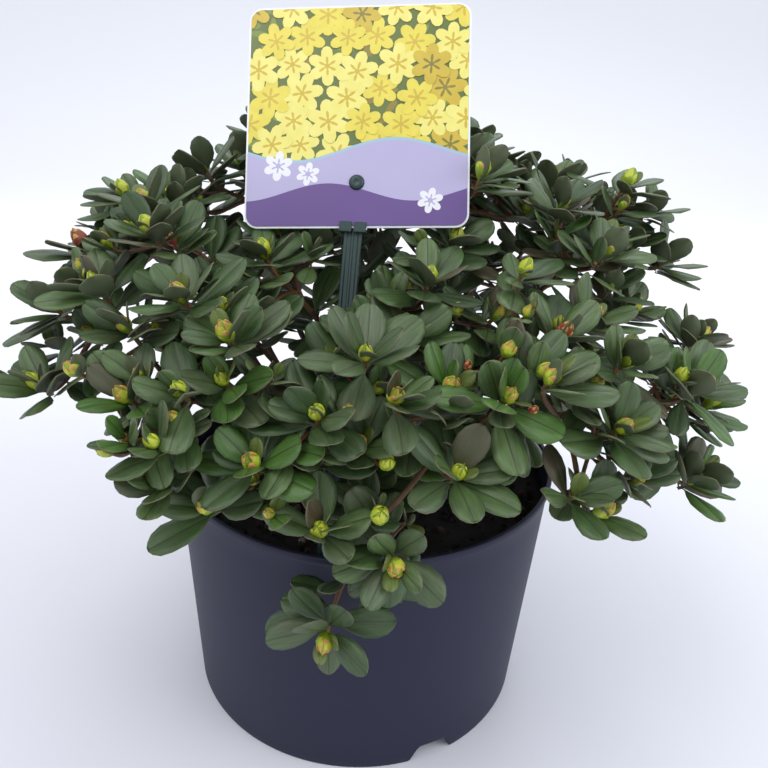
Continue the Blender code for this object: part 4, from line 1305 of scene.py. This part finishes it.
def rounded_plate(bm, points, depth, bevel, matrix):
    """A flat plate of an outline, its rim eased, laid in a place."""
    verts = [bm.verts.new((x, -depth / 2, y)) for x, y in points]
    face = bm.faces.new(verts)
    extruded = bmesh.ops.extrude_face_region(bm, geom=[face])
    moved = [v for v in extruded["geom"] if isinstance(v, bmesh.types.BMVert)]
    bmesh.ops.translate(bm, vec=(0, depth, 0), verts=moved)
    faces = list(dict.fromkeys(f for v in verts + moved for f in v.link_faces))
    bmesh.ops.recalc_face_normals(bm, faces=faces)
    edges = list(dict.fromkeys(e for f in faces if len(f.verts) > 4 for e in f.edges))
    bmesh.ops.bevel(bm, geom=edges, offset=bevel, segments=2, affect="EDGES")
    bmesh.ops.transform(bm, matrix=matrix, verts=bm.verts)


def object_from(bm, name, mats, smooth_angle=35):
    """An object from a bmesh, smooth but for its sharp edges."""
    mesh = bpy.data.meshes.new(name)
    bm.to_mesh(mesh)
    bm.free()
    for poly in mesh.polygons:
        poly.use_smooth = True
    mesh.set_sharp_from_angle(angle=radians(smooth_angle))
    for mat in mats:
        mesh.materials.append(mat)
    obj = bpy.data.objects.new(name, mesh)
    bpy.context.scene.collection.objects.link(obj)
    return obj


def build_card(name, mats):
    """The card itself: a thin plate with round corners and an eased rim."""
    bm = bmesh.new()
    rounded_plate(bm, card_outline(0), CARD_THICK, 0.00015, label_matrix())
    return object_from(bm, name, mats)


PIN_SIDES = 32
PIN_SHANK_R = 0.0016
PIN_DOME = ((0.97, 0.45), (0.85, 0.75), (0.62, 0.97), (0.40, 1.0), (0.26, 0.86), (0.0, 0.80))


def build_pin(name, mats):
    """The pin: a domed head with a dimple, and its shank's end behind the card."""
    front = CARD_THICK / 2 + 0.00012
    profile = [(0.0, -0.0004), (PIN_SHANK_R, -0.0004), (PIN_SHANK_R, front),
               (PIN_HEAD_R - 0.0002, front), (PIN_HEAD_R, front + 0.0003)]
    profile += [(PIN_HEAD_R * out, front + PIN_HEAD_RISE * up) for out, up in PIN_DOME]
    r, z = np.array(profile)[:, 0][:, None], np.array(profile)[:, 1][:, None]
    turn = 2 * pi * np.arange(PIN_SIDES) / PIN_SIDES
    z = np.broadcast_to(-z, (len(profile), PIN_SIDES))
    pile = Pile()
    pile.add(np.stack([r * np.cos(turn), z, r * np.sin(turn)], axis=-1),
             grid_faces(len(profile), PIN_SIDES, True), 0)
    obj = pile.build(name, mats)
    mend(obj.data)
    place = label_matrix() @ Matrix.Translation((PIN_AT[0], 0, PIN_AT[1]))
    obj.data.transform(place)
    return obj


def stem_matrix(along):
    """A place on the stem's axis, measured down from the pin as a negative distance."""
    lean = Matrix.Rotation(STEM_LEAN, 4, "Y")
    behind = CARD_THICK / 2 + GAP + STEM_THICK / 2
    pin = Matrix.Translation((PIN_AT[0], 0, PIN_AT[1]))
    return label_matrix() @ pin @ lean @ Matrix.Translation((0, behind, along))


def build_stem(name, mats):
    """The label's stem: a flat bar with raised edges and a groove, and two clip hooks."""
    here = stem_matrix(0).to_translation()
    below = stem_matrix(-1).to_translation()
    foot = -(here.z - STEM_FOOT_Z) / (here.z - below.z)
    half, deep = STEM_WIDTH / 2, STEM_THICK / 2
    right = [(0.0004, -deep + 0.0001), (0.0007, -deep + 0.0005), (half - 0.0018, -deep + 0.0005),
             (half - 0.0013, -deep), (half - 0.0003, -deep), (half, -deep + 0.0003),
             (half, deep - 0.0003), (half - 0.0003, deep)]
    left = [(-x, y) for x, y in right[::-1]]
    section = left[2:] + right + left[:2]
    heights = np.linspace(foot, STEM_TOP, 12)
    verts = [(x, y, z) for z in heights for x, y in section] + [(0, 0, foot), (0, 0, STEM_TOP)]
    pile = Pile()
    pile.add(verts, capped_faces(len(heights), len(section)), 0)
    bottom = -CARD_HEIGHT / 2 - PIN_AT[1]
    reach = STEM_THICK + CARD_THICK + 2 * GAP + CLIP_THICK
    middle = STEM_THICK / 2 - reach / 2
    under = bottom - GAP - CLIP_THICK / 2 - CLIP_DROP
    lug = (CLIP_WIDTH - CLIP_SPLIT) / 2
    hook_y, hook_z = STEM_THICK / 2 - reach + CLIP_THICK / 2, under + CLIP_RISE / 2
    bm = bmesh.new()
    for side in (-1, 1):
        x = side * (CLIP_SPLIT + lug) / 2
        for size, at in (((lug, reach, CLIP_THICK), (x, middle, under)),
                         ((lug, CLIP_THICK, CLIP_RISE), (x, hook_y, hook_z))):
            made = bmesh.ops.create_cube(bm, size=1.0)
            bmesh.ops.scale(bm, vec=size, verts=made["verts"])
            bmesh.ops.translate(bm, vec=at, verts=made["verts"])
            edges = list(dict.fromkeys(e for v in made["verts"] for e in v.link_edges))
            bmesh.ops.bevel(bm, geom=edges, offset=0.00022, segments=2, affect="EDGES")
    stem = pile.build(name, mats)
    bm.from_mesh(stem.data)
    bmesh.ops.recalc_face_normals(bm, faces=bm.faces)
    bmesh.ops.transform(bm, matrix=stem_matrix(0), verts=bm.verts)
    bpy.data.objects.remove(stem)
    return object_from(bm, name, mats, 30)


# The studio: paper tones by their distance behind the pot, which paint shade on the paper close
# to the pot and far off and paint light between; sky, and lamps with their place, aim, size, power
# and colour
PAPER_LIGHT_AND_SHADE = ((-0.2, (0.67, 0.68, 0.745)), (0.25, (0.75, 0.76, 0.81)), (0.9, (0.86, 0.86, 0.89)),
               (1.6, (0.82, 0.83, 0.87)), (2.2, (0.74, 0.76, 0.81)))
PAPER_SIDE = 3.2
PAPER_FRONT = -3.0
PAPER_BEND = 1.2
PAPER_BEND_R = 1.0
PAPER_TOP = 3.4
SKY_COLOUR = (0.94, 0.96, 1.0)
SKY_STRENGTH = 1.0
LAMPS = (
    ("key", (-0.6, -0.5, 1.6), (0.0, 0.0, 0.18), 1.1, 8.0, (1.0, 0.985, 0.96)),
    ("fill", (1.2, -0.6, 1.1), (0.0, 0.0, 0.15), 1.0, 8.0, (0.94, 0.97, 1.0)),
    ("back", (0.2, 1.1, 1.3), (0.0, 0.0, 0.2), 1.0, 6.0, (0.97, 0.98, 1.0)),
)
CAMERA_AT = (0, -0.363, 0.336)
CAMERA_PITCH = radians(25.0)
CAMERA_YAW = radians(1.22)
CAMERA_ROLL = radians(3.09)
CAMERA_LENS = 37.5
# What a finished leaf counts in triangles, and how many a piece of leaves may hold
LEAF_TRIANGLES = 194
PIECE_TRIANGLES = 190000
# How much paler a leaf's streaks are than the leaf, and how high they stand
VEIN_GAIN = 1.45
VEIN_LIFT = 0.008
VEIN_HEIGHT = 0.6

# The finishes of each piece: name, colour, the colour it drifts to, roughness, patch scale,
# grain scale, grain height, contrast of the patches, veins, depth of the relief, specular
UPPER = (0.43, 110, 900, 0.3, 2.4, 0.55)
FINISHES = {
    "leaves": (
        ("leaf_green_1", (58, 84, 40), (54, 70, 42), *UPPER),
        ("leaf_green_2", (66, 90, 46), (60, 74, 48), *UPPER),
        ("leaf_green_3", (52, 76, 38), (48, 62, 38), *UPPER),
        ("leaf_green_4", (76, 100, 54), (66, 82, 50), *UPPER),
        ("leaf_green_5", (64, 86, 52), (72, 76, 54), *UPPER),
        ("leaf_green_6", (66, 99, 38), (56, 86, 36), *UPPER),
        ("leaf_rib", (46, 62, 34), (60, 66, 42), 0.5, 60),
        ("leaf_under", (84, 98, 68), (96, 102, 78), 0.62, 90, 700, 0.2),
        ("leaf_margin", (88, 98, 58), (94, 78, 62), 0.5, 60),
        ("leaf_young", (84, 106, 42), (86, 88, 48), 0.45, 120, 900, 0.3, 1.8, 0.5),
        ("leaf_bronze", (72, 62, 46), (60, 72, 42), 0.46, 90, 900, 0.3, 2.2, 0.4)),
    "buds": (
        ("bud_green", (138, 158, 36), (118, 144, 36), 0.42, 300),
        ("bud_yellow", (190, 196, 56), (164, 176, 46), 0.42, 300),
        ("bud_tip", (182, 122, 66), (196, 160, 84), 0.45, 400),
        ("bud_red", (124, 46, 40), (150, 76, 50), 0.42, 300)),
    "twigs": (
        ("twig_young", (112, 58, 40), (96, 84, 44), 0.5, 160, 1500, 0.4),
        ("twig_old", (94, 66, 48), (112, 84, 60), 0.7, 200, 1500, 0.6)),
    "wood": (
        ("bark", (92, 64, 50), (62, 46, 38), 0.85, 260, 1200, 0.9, 2.0, 0.0, 0.0004),),
    "pot": (
        ("pot_plastic", (20, 24, 49), (23, 27, 53), 0.55, 14, 1400, 0.12, 1.2, 0.0, 0.0001, 0.4),),
    "soil": (
        ("soil_dark", (34, 27, 24), (20, 16, 15), 0.95, 140, 1100, 1.0, 2.4, 0.0, 0.0006),
        ("soil_bark", (70, 48, 34), (48, 34, 26), 0.85, 300, 1100, 0.6),
        ("soil_grain", (150, 142, 128), (120, 112, 100), 0.8, 500)),
    "card": (
        ("card_plastic", (236, 238, 240), (226, 230, 236), 0.35, 20),),
    "stem": (
        ("stem_plastic", (30, 58, 56), (24, 48, 48), 0.38, 60, 900, 0.15),),
    "print": (
        ("ink_green", (98, 112, 48), (76, 94, 44), 0.34, 60),
        ("ink_leaf", (126, 140, 62), (104, 122, 52), 0.34, 90),
        ("ink_yellow", (222, 208, 84), (208, 192, 66), 0.34, 160),
        ("ink_pale", (228, 220, 128), (218, 208, 102), 0.34, 160),
        ("ink_gold", (200, 176, 58), (186, 160, 50), 0.34, 160),
        ("ink_lilac", (176, 170, 204), (168, 162, 198), 0.34, 30),
        ("ink_sky", (158, 186, 204), (150, 180, 200), 0.34, 30),
        ("ink_purple", (98, 74, 136), (92, 68, 128), 0.34, 30),
        ("ink_white", (226, 226, 232), (220, 220, 228), 0.34, 30),
        ("ink_deep", (140, 124, 46), (116, 110, 46), 0.34, 90)),
}


def srgb(colour):
    """A colour given as 0 to 255 on screen, as the linear values a shader takes."""
    return tuple((c / 255 / 12.92) if c / 255 <= 0.04045 else ((c / 255 + 0.055) / 1.055) ** 2.4
                 for c in colour)


def add_node(tree, kind, values=(), **settings):
    """A new node with its settings, and plain values on its inputs: (input, value) each."""
    node = tree.nodes.new("ShaderNode" + kind)
    for setting, value in settings.items():
        setattr(node, setting, value)
    for label, value in values:
        node.inputs[label].default_value = value
    return node


def wire(tree, *runs):
    """Links an output to an input for each run: (node, output, node, input)."""
    for source, output, target, label in runs:
        tree.links.new(source.outputs[output], target.inputs[label])


def new_group(name, inputs, outputs):
    """An empty node group with named sockets: (name, kind, default) each."""
    group = bpy.data.node_groups.new(name, "ShaderNodeTree")
    for label, kind, value in inputs:
        sock = group.interface.new_socket(label, in_out="INPUT", socket_type=kind)
        if value is not None:
            sock.default_value = value
    for label, kind in outputs:
        group.interface.new_socket(label, in_out="OUTPUT", socket_type=kind)
    return group, group.nodes.new("NodeGroupInput"), group.nodes.new("NodeGroupOutput")


def mottle_group():
    """Colour that drifts between two tints over the surface, and a height for its grain.

    The tints mix by (noise - 0.5) x contrast + 0.5, kept between 0 and 1.
    """
    group, inn, out = new_group(
        "Mottle",
        [("Vector", "NodeSocketVector", None), ("Tint A", "NodeSocketColor", (1, 1, 1, 1)),
         ("Tint B", "NodeSocketColor", (0, 0, 0, 1)), ("Patch Scale", "NodeSocketFloat", 50.0),
         ("Grain Scale", "NodeSocketFloat", 400.0), ("Patch Contrast", "NodeSocketFloat", 1.5)],
        [("Color", "NodeSocketColor"), ("Height", "NodeSocketFloat")])
    patch = add_node(group, "TexNoise", [("Detail", 3.0)])
    grain = add_node(group, "TexNoise", [("Detail", 4.0)])
    contrast = add_node(group, "Math", [(2, 0.5)], operation="MULTIPLY_ADD", use_clamp=True)
    minus = add_node(group, "Math", [(1, 0.5)], operation="SUBTRACT")
    mix = add_node(group, "Mix", data_type="RGBA")
    wire(group, (inn, "Vector", patch, "Vector"), (inn, "Vector", grain, "Vector"),
         (inn, "Patch Scale", patch, "Scale"), (inn, "Grain Scale", grain, "Scale"),
         (patch, "Fac", minus, 0), (minus, 0, contrast, 0), (inn, "Patch Contrast", contrast, 1),
         (contrast, 0, mix, "Factor"), (inn, "Tint A", mix, "A"), (inn, "Tint B", mix, "B"),
         (mix, "Result", out, "Color"), (grain, "Fac", out, "Height"))
    return group


def streak_group():
    """Faint streaks that run along a leaf and out to its margin, as a mask from its UV."""
    group, inn, out = new_group(
        "Streaks",
        [("UV", "NodeSocketVector", None), ("Object", "NodeSocketVector", None)],
        [("Mask", "NodeSocketFloat")])
    stretch = add_node(group, "VectorMath", [(1, (3.5, 24.0, 1.0))], operation="MULTIPLY")
    shift = add_node(group, "VectorMath", [(1, (12.0, 12.0, 12.0))], operation="MULTIPLY_ADD")
    streaks = add_node(group, "TexNoise", [("Scale", 1.0), ("Detail", 3.0)])
    sharpen = add_node(group, "MapRange", [("From Min", 0.38), ("From Max", 0.68)])
    wire(group, (inn, "UV", stretch, 0), (inn, "Object", shift, 0), (stretch, 0, shift, 2),
         (shift, 0, streaks, "Vector"), (streaks, "Fac", sharpen, "Value"),
         (sharpen, "Result", out, "Mask"))
    return group


MOTTLE = mottle_group()
STREAKS = streak_group()


def finish_of(name, colour, other, roughness, patch, grain=400.0, height=0.0, contrast=1.5,
              veins=0.0, depth=0.0002, specular=0.5):
    """A surface: its colour drifting to another, its grain as relief, and veins on a leaf."""
    colour, other = srgb(colour), srgb(other)
    mat = bpy.data.materials.new(name)
    mat.use_nodes = True
    tree = mat.node_tree
    shader = tree.nodes["Principled BSDF"]
    shader.inputs["Roughness"].default_value = roughness
    shader.inputs["Specular IOR Level"].default_value = specular
    coords = add_node(tree, "TexCoord")
    mottle = add_node(tree, "Group", node_tree=MOTTLE)
    for label, value in (("Tint A", (*colour, 1)), ("Tint B", (*other, 1)), ("Patch Scale", patch),
                         ("Grain Scale", grain), ("Patch Contrast", contrast)):
        mottle.inputs[label].default_value = value
    wire(tree, (coords, "Object", mottle, "Vector"))
    tint, relief = (mottle, "Color"), (mottle, "Height")
    if veins:
        vein = add_node(tree, "Group", node_tree=STREAKS)
        uv = add_node(tree, "UVMap", uv_map="UVMap")
        share = add_node(tree, "Math", [(1, veins)], operation="MULTIPLY")
        pale = (*[min(1.0, c * VEIN_GAIN + VEIN_LIFT) for c in colour], 1)
        light = add_node(tree, "Mix", data_type="RGBA")
        light.inputs["B"].default_value = pale
        raised = add_node(tree, "Math", [(1, VEIN_HEIGHT)], operation="MULTIPLY_ADD")
        wire(tree, (uv, "UV", vein, "UV"), (coords, "Object", vein, "Object"),
             (vein, "Mask", share, 0), (share, 0, light, "Factor"), (*tint, light, "A"),
             (vein, "Mask", raised, 0), (*relief, raised, 2))
        tint, relief = (light, "Result"), (raised, 0)
    wire(tree, (*tint, shader, "Base Color"))
    if height:
        bump = add_node(tree, "Bump", [("Strength", height), ("Distance", depth)])
        wire(tree, (*relief, bump, "Height"), (bump, "Normal", shader, "Normal"))
    mat.diffuse_color = (*colour, 1)
    return mat


def paper():
    """Pale paper with light and shade painted into its colour: painted shade greyer close to the
    pot, painted light whitest well behind it, and painted shade duller far off.
    """
    mat = bpy.data.materials.new("studio_paper_painted_shade")
    mat.use_nodes = True
    tree = mat.node_tree
    shader = tree.nodes["Principled BSDF"]
    shader.inputs["Roughness"].default_value = 0.95
    shader.inputs["Specular IOR Level"].default_value = 0.1
    near, distant = PAPER_LIGHT_AND_SHADE[0][0], PAPER_LIGHT_AND_SHADE[-1][0]
    coords = add_node(tree, "TexCoord")
    split = add_node(tree, "SeparateXYZ")
    # The ramp paints shade near the pot and far off, and light between, into the paper's colour by
    # its distance behind the pot.
    far = add_node(tree, "MapRange", [("From Min", near), ("From Max", distant)])
    ramp = add_node(tree, "ValToRGB")
    stops = ramp.color_ramp.elements
    for i, (y, colour) in enumerate(PAPER_LIGHT_AND_SHADE):
        place = (y - near) / (distant - near)
        stop = stops[i] if i < 2 else stops.new(place)
        stop.position = place
        stop.color = (*colour, 1)
    wire(tree, (coords, "Object", split, 0), (split, "Y", far, "Value"),
         (far, "Result", ramp, "Fac"), (ramp, "Color", shader, "Base Color"))
    return mat


def studio():
    """The pale floor that curves up far behind, three soft lights and a pale sky."""
    pile = Pile()
    bend = np.linspace(0.1, pi / 2, 16)
    run = [(PAPER_FRONT, 0.0), (PAPER_BEND, 0.0)]
    run += [(PAPER_BEND + PAPER_BEND_R * sin(t), PAPER_BEND_R * (1 - cos(t))) for t in bend]
    run += [(PAPER_BEND + PAPER_BEND_R, PAPER_TOP)]
    verts = [(x, y, z) for y, z in run for x in (-PAPER_SIDE, PAPER_SIDE)]
    pile.add(verts, grid_faces(len(run), 2)[:, ::-1], 0)
    floor = pile.build("studio_floor", [paper()])
    world = bpy.data.worlds.new("sky")
    world.use_nodes = True
    sky = world.node_tree.nodes["Background"]
    sky.inputs["Color"].default_value = (*SKY_COLOUR, 1)
    sky.inputs["Strength"].default_value = SKY_STRENGTH
    bpy.context.scene.world = world
    for name, at, aim, size, power, colour in LAMPS:
        lamp = bpy.data.lights.new(name, "AREA")
        lamp.shape = "DISK"
        lamp.size = size
        lamp.energy = power
        lamp.color = colour
        obj = bpy.data.objects.new(name, lamp)
        obj.location = at
        obj.rotation_euler = (Vector(aim) - Vector(at)).to_track_quat("-Z", "Y").to_euler()
        bpy.context.scene.collection.objects.link(obj)


def camera():
    """The photo's view: from just above the label, looking down on the pot."""
    ahead = Vector((sin(CAMERA_YAW), cos(CAMERA_YAW), 0)) * cos(CAMERA_PITCH)
    forward = ahead - Vector((0, 0, sin(CAMERA_PITCH)))
    right = Vector((cos(CAMERA_YAW), -sin(CAMERA_YAW), 0))
    up = right.cross(forward)
    x = right * cos(CAMERA_ROLL) + up * sin(CAMERA_ROLL)
    y = -right * sin(CAMERA_ROLL) + up * cos(CAMERA_ROLL)
    lens = bpy.data.cameras.new("camera")
    lens.lens = CAMERA_LENS
    lens.sensor_width = 36
    lens.clip_start = 0.01
    obj = bpy.data.objects.new("camera", lens)
    turn = Matrix((x, y, -forward)).transposed().to_4x4()
    obj.matrix_world = Matrix.Translation(CAMERA_AT) @ turn
    bpy.context.scene.collection.objects.link(obj)
    bpy.context.scene.camera = obj
    bpy.context.scene.view_settings.view_transform = "Standard"


def put(obj, slot, *nodes):
    """Rides a piece on the one body and hides the solids that it stands for; its finish is not
    used.
    """
    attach(obj, "root")
    if nodes:
        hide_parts(*nodes)
    return obj


def split_even(items, count):
    """Items dealt into lists of even length, the last one being shorter if need be."""
    size = -(-len(items) // count)
    return [items[i:i + size] for i in range(0, len(items), size)]


def main():
    """Grows the shrub, makes pot, soil and label, and lights them."""
    camera()
    masses = mass_list()
    foliage = Foliage()
    for node, obj in NODES.items():
        if not node.startswith(("foliage", "bough")):
            verts = np.array([tuple(v.co) for v in obj.data.vertices])
            foliage.crowd.add(verts, [tuple(p.vertices) for p in obj.data.polygons], node)
    for mass in masses:
        path = bough_path(mass)[INTO_TRUNK:]
        verts, faces = tube(path, [BOUGH_R] * (len(path) - 1) + [BOUGH_TIP_R])
        foliage.crowd.add(verts, faces, mass["name"])
    grow_crown(masses, foliage)
    mats = {piece: [finish_of(*row) for row in rows] for piece, rows in FINISHES.items()}
    names = [mass["name"] for mass in masses]
    pieces = -(-len(foliage.leaves) * LEAF_TRIANGLES // PIECE_TRIANGLES)
    for i, group in enumerate(split_even(foliage.leaves, pieces)):
        piece = build_leaves(group, f"leaves_{i + 1}", mats["leaves"])
        put(piece, "foliage", *(names if i == 0 else ()))
    put(build_buds(foliage.buds, "flower_buds", mats["buds"]), "foliage")
    put(build_twigs(foliage.twigs, "green_twigs", mats["twigs"]), "foliage")
    put(build_wood(masses, "trunk_and_boughs", mats["wood"]), "bark", "trunk",
        *[mass["bough"] for mass in masses])
    put(build_pot("nursery_pot", mats["pot"]), "pot_plastic", "pot")
    put(build_soil("compost", mats["soil"]), "potting_soil", "soil")
    put(build_card("plant_card", mats["card"]), "card_plastic", "label_card")
    put(build_print("card_print", mats["print"]), "card_plastic")
    put(build_pin("card_pin", mats["stem"]), "stem_plastic", "label_pin")
    put(build_stem("card_stem", mats["stem"]), "stem_plastic", "label_stem")
    studio()


main()
